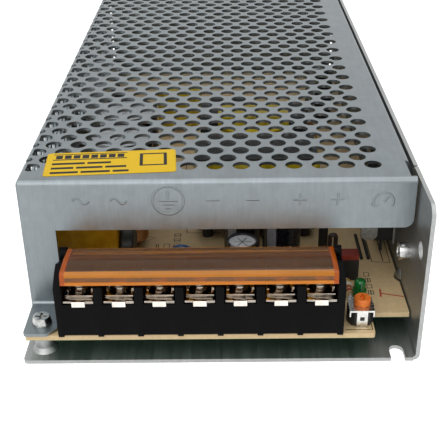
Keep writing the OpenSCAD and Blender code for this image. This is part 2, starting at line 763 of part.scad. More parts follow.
// Thick wire bent to a hoop
module shunt_loop() {
  r = 0.6;
  bow = 0.75;
  top = board_top + 8.4;
  color([0.25, 0.15, 0.1]) translate([loop_at[0], loop_at[1], 0]) {
    for (s = [-1, 1]) translate([s * bow, 0, board_top]) cylinder(r = r, h = top - board_top, $fn = SMALL);
    translate([0, 0, top]) rotate([90, 0, 0]) rotate_extrude(angle = 180) translate([bow, 0])
      circle(r, $fn = SMALL);
  }
}
// Two sleeved wires lying on the board
module board_links() {
  r = 0.45;
  color([0.1, 0.1, 0.1]) for (d = [7, 8.9])
    translate([right(d), back(34), board_top + r]) rotate([90, 0, 0]) cylinder(r = r, h = 13, $fn = SMALL);
}

// ---- Capacitors ----
// Sleeved can with a rolled bead and a vent cross in its sunken top
module can(at, d, h) {
  r = d / 2;
  rim = 0.45;
  translate([at[0], at[1], board_top]) difference() {
    cylinder(d = d, h = h);
    translate([0, 0, h - 0.5]) cylinder(r = r - rim, h = 1);
    for (a = [0, 60, 120]) rotate(a) translate([-r * 0.6, -0.15, h - 0.75]) cube([r * 1.2, 0.3, 1]);
    translate([0, 0, 1.6]) rotate_extrude() translate([r + 0.25, 0]) circle(0.5, $fn = SMALL);
  }
}
module filter_capacitor() { color([0.2, 0.2, 0.22]) can([left(54.1), back(11)], filter_d, filter_h); }
module output_capacitor_1() { color([0.1, 0.1, 0.1]) can([left(64.6), back(17)], output_d, output_h); }
module output_capacitor_2() { color([0.1, 0.1, 0.1]) can([left(54.3), back(26.6)], output_d, output_h); }
module output_capacitor_3() { color([0.1, 0.1, 0.1]) can([right(11.5), back(124)], output_d, output_h); }
module bulk_capacitor_1() { color([0.1, 0.1, 0.1]) can([left(20), back(46.8)], bulk_d, bulk_h); }
module bulk_capacitor_2() { color([0.1, 0.1, 0.1]) can([left(20), back(66.4)], bulk_d, bulk_h); }

module mains_capacitor() {
  w = mains_cap[0];
  d = mains_cap[1];
  x0 = left(4.1);
  y0 = back(14);
  color("goldenrod") {
    translate([0, 0, board_top + 0.4]) linear_extrude(mains_cap[2])
      round_box([x0, y0], [x0 + w, y0 + d], 0.8, $fn = SMALL);
    for (x = [x0 + 0.8, x0 + w - 2.2], y = [y0 + 0.8, y0 + d - 1.6])
      bar(x, x + 1.4, y, y + 0.8, board_top, board_top + 0.4 + EPS);
  }
}
// Round disc standing on two wires, its faces along the axis that turn gives
module disc(at, d, t, turn) {
  r = d / 2;
  edge = 0.6;
  translate([at[0], at[1], board_top + r + 0.9]) rotate(turn) {
    rotate([90, 0, 0]) rotate_extrude() {
      translate([0, -t / 2]) square([r - edge, t]);
      translate([0, -t / 2 + edge]) square([r, t - 2 * edge]);
      for (s = [-1, 1]) translate([r - edge, s * (t / 2 - edge)]) circle(edge, $fn = SMALL);
    }
    for (s = [-1, 1]) translate([s * r * 0.55, 0, -r - 0.9]) cylinder(r = 0.35, h = r, $fn = SMALL);
  }
}
module thermistor() { color([0.12, 0.14, 0.12]) disc([left(23.6), back(19)], 11.5, 3.4, 90); }
module bypass_capacitor() { color("steelblue") disc([left(38), back(14)], bypass_d, 3, 0); }

module upright_diode() {
  color([0.1, 0.1, 0.1]) translate([left(76.9), back(26.5), board_top]) {
    translate([0, 0, 1]) cylinder(r = 1.3, h = 10);
    cylinder(r = 0.45, h = 13, $fn = SMALL);
    translate([0, 1.6, 13]) rotate([0, -90, 0]) rotate([0, 0, -90]) rotate_extrude(angle = 180)
      translate([1.6, 0]) circle(0.45, $fn = SMALL);
    translate([0, 3.2, 0]) cylinder(r = 0.45, h = 13, $fn = SMALL);
  }
}

// ---- Magnetics ----
module choke_core() {
  w = choke_core_size[0];
  d = choke_core_size[1];
  z = board_top + lift;
  color([0.12, 0.12, 0.12]) {
    translate([0, 0, z]) linear_extrude(choke_core_size[2])
      round_box([choke_at[0] - w / 2, choke_at[1] - d / 2], [choke_at[0] + w / 2, choke_at[1] + d / 2], 1);
    for (sx = [-1, 1], sy = [-1, 1])
      translate([choke_at[0] + sx * (w / 2 - 3), choke_at[1] + sy * (d / 2 - 3), board_top])
        cylinder(r = 1.5, h = lift + EPS, $fn = SMALL);
  }
}
module choke_tape() {
  w = choke_core_size[0] / 2;
  d = choke_core_size[1] / 2;
  z = board_top + lift + choke_core_size[2] - choke_tape_h - 0.5;
  color("gold") translate([choke_at[0], choke_at[1], z]) linear_extrude(choke_tape_h) difference() {
    round_box([-w - tape_t, -d - tape_t], [w + tape_t, d + tape_t], 1 + tape_t);
    round_box([-w, -d], [w, d], 1);
  }
}
// Closed core: two yokes, two outer legs and a round centre leg
module transformer_core() {
  reach = drum_d / 2 + 0.3;
  z0 = drum_z - yoke_t + 0.3;
  color([0.12, 0.12, 0.12]) translate([drum_at[0], drum_at[1], 0]) {
    for (z = [z0, drum_z + drum_h])
      translate([-reach - leg_t, -core_d / 2, z]) cube([2 * (reach + leg_t), core_d, yoke_t - 0.3]);
    for (s = [-1, 1]) translate([s * (reach + leg_t / 2) - leg_t / 2, -core_d / 2, z0])
      cube([leg_t, core_d, drum_h + yoke_t]);
    translate([0, 0, z0 + 1]) cylinder(r = 5, h = drum_h + yoke_t - 1);
    for (sx = [-1, 1], sy = [-1, 1]) translate([sx * reach, sy * (core_d / 2 - 2), board_top])
      cylinder(r = 1.2, h = z0 - board_top + EPS, $fn = SMALL);
  }
}
// Taped winding round the centre leg, with tape over the upper yoke
module transformer_winding() {
  reach = drum_d / 2;
  yoke_z = drum_z + drum_h;
  color("gold") translate([drum_at[0], drum_at[1], 0]) {
    translate([0, 0, drum_z]) difference() {
      cylinder(d = drum_d, h = drum_h);
      translate([0, 0, -1]) cylinder(r = 5.15, h = drum_h + 2);
    }
    along_x_centre(reach - 1) difference() {
      translate([-core_d / 2 - tape_t, yoke_z - EPS])
        square([core_d + 2 * tape_t, yoke_t - 0.3 + tape_t + EPS]);
      translate([-core_d / 2 - EPS, yoke_z - 1]) square([core_d + 2 * EPS, yoke_t + 0.7]);
    }
  }
}
module along_x_centre(reach) { along_x(-reach, reach) children(); }

module line_choke() {
  at = [left(15), back(31.2)];
  w = 20;
  h = 15;
  bar_t = 4;
  color("peru") translate([at[0], at[1], board_top + 0.5]) {
    along_y(-bar_t / 2, bar_t / 2) difference() {
      translate([-w / 2, 0]) square([w, h]);
      translate([-w / 2 + bar_t, bar_t]) square([w - 2 * bar_t, h - 2 * bar_t]);
    }
    for (s = [-1, 1]) translate([s * (w - bar_t) / 2, 0, bar_t / 2]) cylinder(r = 4.6, h = h - bar_t);
    for (s = [-1, 1]) translate([s * (w - bar_t) / 2, 0, -0.5]) cylinder(r = 1.5, h = 1, $fn = SMALL);
  }
}
module drive_transformer() {
  at = [left(33), back(118)];
  color("gold") translate([at[0], at[1], board_top]) {
    translate([-8, -2.5, 0.5]) cube([16, 5, 14]);
    translate([0, 0, 2]) cylinder(r = 6.2, h = 11);
    for (sx = [-1, 1], sy = [-1, 1]) translate([sx * 6, sy * 2, 0]) cylinder(r = 0.5, h = 1, $fn = SMALL);
  }
}
module output_inductor() {
  r = ring_section / 2;
  color("chocolate") translate([left(68.5), back(98), board_top + r]) rotate_extrude()
    translate([ring_d / 2 - r, 0]) circle(r);
}

// ---- Power semiconductors and small parts ----
module bridge_rectifier() {
  x0 = left(2.4);
  y0 = back(40);
  w = 22;
  z0 = board_top + 2;
  color([0.1, 0.1, 0.1]) {
    along_x(x0, x0 + 3.6) difference() {
      translate([y0, z0]) square([w, 18]);
      translate([y0, z0 + 18]) rotate(45) square(3, center = true);
      translate([y0 + w / 2, z0 + 13]) circle(1.7);
    }
    for (i = [0 : 3]) bar(x0 + 1.3, x0 + 2.1, y0 + 2.5 + i * 5.2, y0 + 3.7 + i * 5.2, board_top, z0 + EPS);
  }
}
module switching_heatsink() {
  x0 = left(8.6);
  y0 = back(84);
  y1 = back(117);
  top = board_top + 26;
  color("silver") {
    bar(x0, x0 + 2, y0, y1, board_top, top);
    for (y = [y0 : 6.2 : y1 - 2]) bar(x0 - 5, x0 + EPS, y, y + 1.4, board_top + 4, top);
  }
}
// Two flat transistors with their tabs against the heatsink
module switching_transistors() {
  x0 = left(8.6) + 2;
  color([0.1, 0.1, 0.1]) for (y = [back(92), back(109)]) difference() {
    union() {
      bar(x0, x0 + 4.4, y - 5, y + 5, board_top + 5, board_top + 14);
      bar(x0, x0 + 1.3, y - 5, y + 5, board_top + 5, board_top + 20.5);
      for (i = [-1 : 1]) bar(x0 + 2.2, x0 + 2.8, y + i * 2.54 - 0.4, y + i * 2.54 + 0.4, board_top,
        board_top + 5 + EPS);
    }
    translate([x0 - 1, y, board_top + 17.5]) rotate([0, 90, 0]) cylinder(r = 1.8, h = 4, $fn = SMALL);
  }
}
module output_rectifier() {
  x1 = right(pad_t);
  x0 = x1 - rectifier[0];
  color([0.1, 0.1, 0.1]) {
    bar(x0, x1, rectifier_y, rectifier_y + rectifier[1], rectifier_z, rectifier_z + rectifier[2]);
    for (i = [0 : 2]) bar(x0 + 2, x0 + 2.7, rectifier_y + 2 + i * 5.3, rectifier_y + 3.2 + i * 5.3, board_top,
      rectifier_z + EPS);
  }
}
module rectifier_pad() {
  over = 0.9;
  color("lightgrey") bar(right(pad_t), wall_in, rectifier_y - over, rectifier_y + rectifier[1] + over,
    rectifier_z - over / 2, rectifier_z + rectifier[2] + over / 2);
}
// Bar across the rectifier with a round-ended tongue turned out at the front
module rectifier_clamp() {
  tongue = 3.2;
  low = rectifier_z + 2.6;
  high = rectifier_z + 18;
  r = 1.6;
  color("silver") {
    along_x(clamp_x, clamp_x + clamp_t) difference() {
      translate([clamp_y, clamp_z - 4.5]) square([clamp_screw_y + 4 - clamp_y, 9]);
      translate([clamp_screw_y, clamp_z]) circle(1.5);
    }
    along_y(clamp_y, clamp_y + clamp_t) {
      translate([clamp_x - tongue, low + r]) square([tongue + clamp_t, high - low - r]);
      translate([clamp_x - tongue + r, low]) square([tongue + clamp_t - 2 * r, r + EPS]);
      for (x = [clamp_x - tongue + r, clamp_x + clamp_t - r]) translate([x, low + r]) circle(r);
    }
  }
}
module control_chip() {
  at = [left(48.5), back(135)];
  color([0.1, 0.1, 0.1]) translate([at[0], at[1], board_top]) {
    translate([-9.7, -3.2, 0.5]) cube([19.4, 6.4, 3.3]);
    for (i = [0 : 7], s = [-1, 1]) translate([-8.9 + i * 2.54 - 0.4, s * 3.6 - 0.2, 0]) cube([0.8, 0.4, 2]);
    for (i = [0 : 7], s = [-1, 1]) translate([-8.9 + i * 2.54 - 0.4, s * 3.4 - 0.4, 1.7]) cube([0.8, 0.8, 0.3]);
  }
}
module fuse() {
  color("gainsboro") translate([left(14), back(7), board_top + 4]) rotate([0, 90, 0]) {
    cylinder(d = 4.8, h = 20, center = true);
    for (s = [-1, 1]) translate([0, 0, s * 7.5]) cylinder(d = 5.2, h = 5, center = true);
  }
}
// Spring clips that hold the fuse by its caps
module fuse_clips() {
  z = board_top;
  color("silver") for (s = [-1, 1]) {
    x = left(14) + s * 7.5;
    difference() {
      bar(x - 2, x + 2, back(7) - 3, back(7) + 3, z, z + 6);
      translate([x - 3, back(7), z + 4]) rotate([0, 90, 0]) cylinder(d = 5.2, h = 6);
      bar(x - 3, x + 3, back(7) - 2, back(7) + 2, z + 4, z + 7);
      bar(x - 3, x + 3, back(7) - 2.4, back(7) + 2.4, z + 0.5, z + 1.2);
    }
  }
}

chassis();
side_nuts();
cover();
cover_screws();
insulation_sheet();
circuit_board();
board_screws();
foot_screw();
terminal_block();
terminal_plates();
clamp_washer(0);  // clamp_washer_1
clamp_washer(1);  // clamp_washer_2
clamp_washer(2);  // clamp_washer_3
clamp_washer(3);  // clamp_washer_4
clamp_washer(4);  // clamp_washer_5
clamp_washer(5);  // clamp_washer_6
clamp_washer(6);  // clamp_washer_7
terminal_screw(0);  // terminal_screw_1
terminal_screw(1);  // terminal_screw_2
terminal_screw(2);  // terminal_screw_3
terminal_screw(3);  // terminal_screw_4
terminal_screw(4);  // terminal_screw_5
terminal_screw(5);  // terminal_screw_6
terminal_screw(6);  // terminal_screw_7
terminal_cover();
trimmer_body();
trimmer_strap();
trimmer_rotor();
indicator_led();
led_resistor();
link_header();
link_cap();
shunt_loop();
board_links();
mains_capacitor();
thermistor();
bypass_capacitor();
filter_capacitor();
output_capacitor_1();
output_capacitor_2();
output_capacitor_3();
upright_diode();
choke_core();
choke_tape();
transformer_core();
transformer_winding();
bulk_capacitor_1();
bulk_capacitor_2();
fuse();
fuse_clips();
line_choke();
bridge_rectifier();
switching_heatsink();
switching_transistors();
drive_transformer();
output_inductor();
output_rectifier();
rectifier_pad();
rectifier_clamp();
control_chip();
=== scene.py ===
"""Looks of a mesh case switching power supply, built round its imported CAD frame."""

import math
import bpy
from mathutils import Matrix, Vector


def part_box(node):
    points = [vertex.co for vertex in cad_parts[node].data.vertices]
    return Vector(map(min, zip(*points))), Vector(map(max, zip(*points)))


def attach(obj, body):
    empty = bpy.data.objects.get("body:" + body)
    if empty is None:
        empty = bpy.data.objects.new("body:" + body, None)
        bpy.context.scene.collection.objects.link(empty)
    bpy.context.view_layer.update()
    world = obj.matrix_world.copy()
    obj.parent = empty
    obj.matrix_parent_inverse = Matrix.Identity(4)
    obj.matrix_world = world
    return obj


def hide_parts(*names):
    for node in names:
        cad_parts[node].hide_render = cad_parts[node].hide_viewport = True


bl_info = {
    "name": "Mesh Case Power Supply",
    "version": (1, 0, 0),
    "blender": (4, 5, 0),
    "location": "View3D > Sidebar > Power Supply",
    "description": "Finishes, printing, windings and small parts of an open-front switching power supply",
    "category": "Add Mesh",
}

import bmesh
import bpy
from bpy.props import FloatProperty, FloatVectorProperty, IntProperty, PointerProperty
from mathutils import Matrix, Vector

MM = 0.001
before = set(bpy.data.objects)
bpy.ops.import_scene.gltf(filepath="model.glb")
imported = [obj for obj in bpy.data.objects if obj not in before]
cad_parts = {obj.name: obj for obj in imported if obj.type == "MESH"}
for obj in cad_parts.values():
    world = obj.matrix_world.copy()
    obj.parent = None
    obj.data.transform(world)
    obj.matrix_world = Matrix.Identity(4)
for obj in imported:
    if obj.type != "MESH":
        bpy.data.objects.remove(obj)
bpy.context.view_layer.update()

CANS = ("filter_capacitor", "output_capacitor_1", "output_capacitor_2", "output_capacitor_3",
        "bulk_capacitor_1", "bulk_capacitor_2")
WAYS = range(1, 8)

# Where the stamped marks stand across the lip, in millimetres from the middle
WAVE_MARKS = (-33.25, -24.19)
EARTH_MARK = -12.28
MINUS_MARKS = (-1.56, 7.96)
PLUS_MARKS = (19.16, 28.20)
DIAL_MARK = 39.16


# ---- Sizes and colours that a user would change ----
def length(name, default_mm, text):
    return FloatProperty(name=name, description=text, default=default_mm * MM, unit="LENGTH", precision=5)


def linear(hex_code):
    """Turns an sRGB hex colour into the linear one that Blender's sockets hold."""
    channels = [int(hex_code[i : i + 2], 16) / 255 for i in (1, 3, 5)]
    return [c / 12.92 if c <= 0.04045 else ((c + 0.055) / 1.055) ** 2.4 for c in channels] + [1.0]


def colour(name, hex_code, text):
    return FloatVectorProperty(name=name, description=text, default=linear(hex_code)[:3], size=3, min=0,
                               max=1, subtype="COLOR")


class StudioSettings(bpy.types.PropertyGroup):
    camera_place: FloatVectorProperty(name="Camera place", description="Where the camera stands", size=3,
                                      default=(2.25 * MM, -268.65 * MM, 132.57 * MM), subtype="TRANSLATION")
    camera_down: FloatProperty(name="Camera down", description="How far the camera looks down",
                               default=0.50635, subtype="ANGLE")
    camera_turn: FloatProperty(name="Camera turn", description="How far the camera turns aside",
                               default=-0.00692, subtype="ANGLE")
    camera_roll: FloatProperty(name="Camera roll", description="How far the camera rolls", default=-0.01228,
                               subtype="ANGLE")
    lens_mm: FloatProperty(name="Lens", description="Focal length on a 36 mm sensor", default=69.59)
    floor_grey: colour("Floor", "#fbfbfb", "Colour of the floor")
    key_watts: FloatProperty(name="Key light", description="Power of the large light ahead and above",
                             default=9.0)
    top_watts: FloatProperty(name="Top light", description="Power of the large light overhead", default=4.0)
    surround: FloatProperty(name="Surround", description="Strength of the world on matt surfaces",
                            default=0.45)


class FinishSettings(bpy.types.PropertyGroup):
    cover_steel: colour("Cover steel", "#81888b", "Galvanised sheet of the cover")
    base_metal: colour("Base metal", "#a5a7a6", "Rolled aluminium of the chassis")
    board_top: colour("Board", "#d8bd90", "Paper laminate of the circuit board")
    board_under: colour("Board underside", "#3c8a60", "Solder resist under the board")
    guard_amber: colour("Guard", "#d08a10", "Tinted polycarbonate of the terminal guard")
    # The guard's edge and end-wall colours are painted light: a painted highlight on the front edges and a
    # painted glow through the end walls
    guard_edge_highlight: colour("Guard edge", "#e8921c", "Light caught in the edges of the guard")
    guard_end_painted_orange: colour("Guard cheek", "#cf6610", "Deep orange of the guard's end walls")
    sticker_yellow: colour("Sticker", "#e6bd20", "Yellow of the sticker")
    ink: colour("Ink", "#1b1a18", "Ink of the sticker and of the board print")


class DetailSettings(bpy.types.PropertyGroup):
    sticker_size: FloatVectorProperty(name="Sticker size", description="Width and depth of the sticker",
                                      size=2, default=(32.0 * MM, 13.2 * MM), unit="LENGTH")
    sticker_turn: FloatProperty(name="Sticker turn", description="How askew the sticker lies", default=0.066,
                                subtype="ANGLE")
    sticker_place: FloatVectorProperty(name="Sticker place", description="Middle of the sticker on the top",
                                       size=2, default=(-26.7 * MM, -75.1 * MM), unit="LENGTH")
    sticker_thick: length("Sticker film", 0.09, "Thickness of the sticker's film")
    sticker_corner: length("Sticker corner", 0.9, "Radius of the sticker's corners")
    lip_back: length("Lip place", 14.0, "Distance from the front of the base to the lip")
    mark_drop: length("Mark height", 5.3, "Distance from the top of the cover down to the stamped marks")
    mark_stroke: length("Mark stroke", 0.55, "Width of the strokes stamped into the lip")
    mark_rise: length("Mark relief", 0.06, "Relief of the stamped strokes")
    print_stroke: length("Print stroke", 0.3, "Width of the printed lines on the board")
    print_rise: length("Print relief", 0.02, "Thickness of the ink on the board")
    vent_stroke: length("Vent stroke", 0.36, "Width of the vent scored in a can")
    vent_rise: length("Vent relief", 0.03, "Relief of the scored vent")
    vent_drop: length("Vent depth", 0.74, "How far below its rim the sunk top of a can lies")
    wire_d: length("Winding wire", 1.1, "Wire of the ring choke")
    ring_turns: IntProperty(name="Ring turns", description="Turns on the ring choke", default=30)
    line_wire_d: length("Line choke wire", 0.62, "Wire of the line choke")
    line_turns: IntProperty(name="Line choke turns", description="Turns on each side of the line choke",
                            default=16)
    edge_round: length("Edge radius", 0.25, "Rounding of moulded edges")


class SupplySettings(bpy.types.PropertyGroup):
    studio: PointerProperty(type=StudioSettings)
    finish: PointerProperty(type=FinishSettings)
    detail: PointerProperty(type=DetailSettings)


# ---- Shared helpers ----
def node(tree, kind, inputs=None, **settings):
    """Adds one node with its settings; an input is a value or another node's output."""
    made = tree.nodes.new(kind)
    for key, value in settings.items():
        setattr(made, key, value)
    for key, value in (inputs or {}).items():
        if isinstance(value, bpy.types.NodeSocket):
            tree.links.new(value, made.inputs[key])
        else:
            made.inputs[key].default_value = value
    return made


def plain(name, tint, roughness, **sockets):
    """A material with the Principled shader and its plain sockets."""
    material = bpy.data.materials.new(name)
    material.use_nodes = True
    shader = material.node_tree.nodes["Principled BSDF"]
    shader.inputs["Base Color"].default_value = list(tint)[:3] + [1.0]
    shader.inputs["Roughness"].default_value = roughness
    for key, value in sockets.items():
        shader.inputs[key.replace("_", " ")].default_value = value
    return material


def grained(name, low, high, grain_mm, rough, relief_mm=0.0, stretch=(1, 1, 1), **sockets):
    """A finish whose colour and sheen wander between two values, with a grain of a real size."""
    material = plain(name, high, rough[1], **sockets)
    tree = material.node_tree
    shader = tree.nodes["Principled BSDF"]
    place = node(tree, "ShaderNodeTexCoord").outputs["Object"]
    place = node(tree, "ShaderNodeMapping", {"Vector": place, "Scale": stretch}).outputs[0]
    grain = node(tree, "ShaderNodeTexNoise", {"Vector": place, "Scale": 1 / (grain_mm * MM), "Detail": 4.0,
                                              "Roughness": 0.6}).outputs[0]
    share = node(tree, "ShaderNodeMapRange", {"Value": grain, "From Min": 0.32, "From Max": 0.68}).outputs[0]
    tint = node(tree, "ShaderNodeMix", {0: share, 6: list(low)[:3] + [1.0], 7: list(high)[:3] + [1.0]},
                data_type="RGBA").outputs[2]
    sheen = node(tree, "ShaderNodeMapRange", {"Value": grain, "From Min": 0.32, "From Max": 0.68,
                                              "To Min": rough[0], "To Max": rough[1]}).outputs[0]
    tree.links.new(tint, shader.inputs["Base Color"])
    tree.links.new(sheen, shader.inputs["Roughness"])
    if relief_mm:
        bump = node(tree, "ShaderNodeBump", {"Height": grain, "Distance": relief_mm * MM, "Strength": 1.0})
        tree.links.new(bump.outputs[0], shader.inputs["Normal"])
    return material


def scaled(tint, factor):
    """A colour made lighter or darker."""
    return [min(1.0, c * factor) for c in list(tint)[:3]] + [1.0]


def object_axes(tree):
    """The X, Y and Z of a point on the piece, in metres in the shared frame."""
    place = node(tree, "ShaderNodeTexCoord").outputs["Object"]
    return node(tree, "ShaderNodeSeparateXYZ", {"Vector": place}).outputs


def give(material, *names):
    """Puts one material on whole CAD nodes."""
    for name in names:
        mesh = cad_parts[name].data
        mesh.materials.clear()
        mesh.materials.append(material)


def link(obj):
    bpy.context.scene.collection.objects.link(obj)
    return obj


def keep(obj, body, replaces=()):
    """Puts a finished piece on its body and, where it stands for CAD nodes, hides those."""
    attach(obj, body)
    if replaces:
        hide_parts(*replaces)
    return obj


def from_mesh(name, mesh, material, smooth=False):
    mesh.materials.clear()
    mesh.materials.append(material)
    for face in mesh.polygons:
        face.use_smooth = smooth
    return link(bpy.data.objects.new(name, mesh))


def softened(node_name, name, material, radius_mm, segments=2, angle=math.radians(35)):
    """A copy of a CAD node with its sharp edges rounded."""
    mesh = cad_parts[node_name].data.copy()
    work = bmesh.new()
    work.from_mesh(mesh)
    bmesh.ops.remove_doubles(work, verts=work.verts, dist=1e-6)
    bmesh.ops.dissolve_limit(work, angle_limit=math.radians(1.0), verts=work.verts, edges=work.edges)
    work.to_mesh(mesh)
    work.free()
    mesh.name = name
    obj = from_mesh(name, mesh, material, smooth=True)
    bevel = obj.modifiers.new("round", "BEVEL")
    bevel.width = radius_mm * MM
    bevel.segments = segments
    bevel.limit_method = "ANGLE"
    bevel.angle_limit = angle
    bevel.use_clamp_overlap = True
    bevel.harden_normals = True
    return settle(obj)


def settle(obj):
    """Applies an object's modifiers to its mesh and removes them."""
    graph = bpy.context.evaluated_depsgraph_get()
    graph.update()
    mesh = bpy.data.meshes.new_from_object(obj.evaluated_get(graph))
    obj.modifiers.clear()
    obj.data = mesh
    return obj


def group(name, sockets):
    """A new Geometry Nodes tree with a geometry input and output and named inputs for its sizes."""
    tree = bpy.data.node_groups.new(name, "GeometryNodeTree")
    tree.interface.new_socket("Geometry", in_out="INPUT", socket_type="NodeSocketGeometry")
    for label, kind, default in sockets:
        socket = tree.interface.new_socket(label, in_out="INPUT", socket_type=kind)
        if default is not None:
            socket.default_value = default
    tree.interface.new_socket("Geometry", in_out="OUTPUT", socket_type="NodeSocketGeometry")
    return tree, tree.nodes.new("NodeGroupInput"), tree.nodes.new("NodeGroupOutput")


def close_tree(tree, geometry, start, end):
    """Ends a tree in Realize Instances and Set Material, as the export needs."""
    real = node(tree, "GeometryNodeRealizeInstances", {"Geometry": geometry}).outputs[0]
    done = node(tree, "GeometryNodeSetMaterial",
                {"Geometry": real, "Material": start.outputs["Material"]}).outputs[0]
    tree.links.new(done, end.inputs[0])
    return tree


def grow(name, tree, base_mesh, values):
    """Runs a tree on a base mesh and turns its result into a plain mesh object."""
    obj = link(bpy.data.objects.new(name, base_mesh))
    modifier = obj.modifiers.new("grow", "NODES")
    modifier.node_group = tree
    for item in tree.interface.items_tree:
        if item.item_type == "SOCKET" and item.in_out == "INPUT" and item.name in values:
            modifier[item.identifier] = values[item.name]
    return settle(obj)


def path_mesh(name, paths):
    """A mesh of edges along paths of points, the centre lines that a stroke tree sweeps."""
    points, edges = [], []
    for path in paths:
        first = len(points)
        points += [tuple(p) for p in path]
        edges += [(first + i, first + i + 1) for i in range(len(path) - 1)]
        if path[0] == path[-1]:
            points.pop()
            edges[-1] = (edges[-1][0], first)
    mesh = bpy.data.meshes.new(name)
    mesh.from_pydata(points, edges, [])
    return mesh


def stroke_tree():
    """Sweeps a bar along lines drawn on the XY plane, flattens it to its rise and stands it in place."""
    tree, start, end = group("Strokes", [("Width", "NodeSocketFloat", 0.0005),
                                         ("Rise", "NodeSocketFloat", 0.0001),
                                         ("Place", "NodeSocketVector", None),
                                         ("Tilt", "NodeSocketVector", None),
                                         ("Material", "NodeSocketMaterial", None)])
    curve = node(tree, "GeometryNodeMeshToCurve", {"Mesh": start.outputs["Geometry"]}).outputs[0]
    half = node(tree, "ShaderNodeMath", {0: start.outputs["Width"], 1: 0.5}, operation="MULTIPLY").outputs[0]
    ring = node(tree, "GeometryNodeCurvePrimitiveCircle", {"Resolution": 8, "Radius": half}).outputs[0]
    tube = node(tree, "GeometryNodeCurveToMesh",
                {"Curve": curve, "Profile Curve": ring, "Fill Caps": True}).outputs[0]
    squeeze = node(tree, "ShaderNodeMath", {0: start.outputs["Rise"], 1: half}, operation="DIVIDE").outputs[0]
    scale = node(tree, "ShaderNodeCombineXYZ", {"X": 1.0, "Y": 1.0, "Z": squeeze}).outputs[0]
    flat = node(tree, "GeometryNodeTransform", {"Geometry": tube, "Scale": scale}).outputs[0]
    stood = node(tree, "GeometryNodeTransform", {"Geometry": flat, "Translation": start.outputs["Place"],
                                                 "Rotation": start.outputs["Tilt"]}).outputs[0]
    return close_tree(tree, stood, start, end)


def strokes(name, paths, width, rise, place, tilt, material):
    values = {"Width": width, "Rise": rise, "Place": tuple(place), "Tilt": tilt, "Material": material}
    return grow(name, stroke_tree(), path_mesh(name, paths), values)


def arc(x, y, radius, start, end, count=24):
    """Points round a centre, between two angles in degrees, in metres."""
    turns = [math.radians(start + (end - start) * i / count) for i in range(count + 1)]
    return [(x + radius * math.cos(a), y + radius * math.sin(a), 0.0) for a in turns]


# ---- Finishes ----
class SUPPLY_OT_finish_case(bpy.types.Operator):
    """Gives the cover, the chassis and the fasteners their metals"""

    bl_idname = "supply.finish_case"
    bl_label = "Finish the case"

    def execute(self, context):
        look = context.scene.supply.finish
        give(galvanised(look.cover_steel), "cover")
        # Mill-finish aluminium: fine rolling lines along the length and a broad, blurred sheen
        give(grained("rolled_aluminium", scaled(look.base_metal, 0.86), scaled(look.base_metal, 1.08), 0.9,
                     (0.4, 0.52), 0.0015, (1.0, 0.05, 1.0), Metallic=1.0), "chassis")
        # Zinc-plated steel: bright, slightly blue
        zinc = grained("bright_zinc", linear("#9b9c9b"), linear("#cfcfcc"), 0.9, (0.16, 0.3), 0.001,
                       Metallic=1.0)
        give(zinc, "cover_screws")
        for name, slot in (("foot_screw", "pan_screw_foot"), ("board_screws", "pan_screws_board"),
                           ("side_nuts", "clinch_nuts")):
            keep(softened(name, slot, zinc, 0.3, 3), "case", [name])
        give(grained("plated_steel", linear("#6d7172"), linear("#8f9394"), 0.8, (0.28, 0.4), Metallic=1.0),
             "rectifier_clamp")
        # Black fibre film, dull with a trace of sheen
        give(grained("insulating_film", linear("#141414"), linear("#1d1d1d"), 1.5, (0.45, 0.6)),
             "insulation_sheet")
        return {"FINISHED"}


def galvanised(tint):
    """Hot-dip galvanised sheet: faint crystals, fine draw lines and a soft grey sheen."""
    material = grained("galvanised_steel", scaled(tint, 0.95), scaled(tint, 1.06), 5.0, (0.33, 0.45),
                       Metallic=1.0)
    tree = material.node_tree
    shader = tree.nodes["Principled BSDF"]
    place = node(tree, "ShaderNodeTexCoord").outputs["Object"]
    # Crystals are drawn at 2.6 mm, the coarse end of a light coating, so that they just show
    cells = node(tree, "ShaderNodeTexVoronoi", {"Vector": place, "Scale": 1 / (2.6 * MM)}).outputs["Color"]
    level = node(tree, "ShaderNodeSeparateColor", {"Color": cells}).outputs[0]
    level = node(tree, "ShaderNodeMapRange", {"Value": level, "To Min": 0.96, "To Max": 1.03}).outputs[0]
    # Draw lines of the folding tool run up the lip and across the top as faint streaks 0.4 mm wide
    fine = node(tree, "ShaderNodeMapping", {"Vector": place, "Scale": (1.0, 0.12, 0.12)}).outputs[0]
    streak = node(tree, "ShaderNodeTexNoise",
                  {"Vector": fine, "Scale": 1 / (0.8 * MM), "Detail": 3.0}).outputs[0]
    streak = node(tree, "ShaderNodeMapRange",
                  {"Value": streak, "From Min": 0.3, "From Max": 0.7, "To Min": 0.95,
                                               "To Max": 1.05}).outputs[0]
    level = node(tree, "ShaderNodeMath", {0: level, 1: streak}, operation="MULTIPLY").outputs[0]
    under = shader.inputs["Base Color"].links[0].from_socket
    mixed = node(tree, "ShaderNodeVectorMath", {0: under, 1: level}, operation="MULTIPLY").outputs[0]
    tree.links.new(mixed, shader.inputs["Base Color"])
    return material


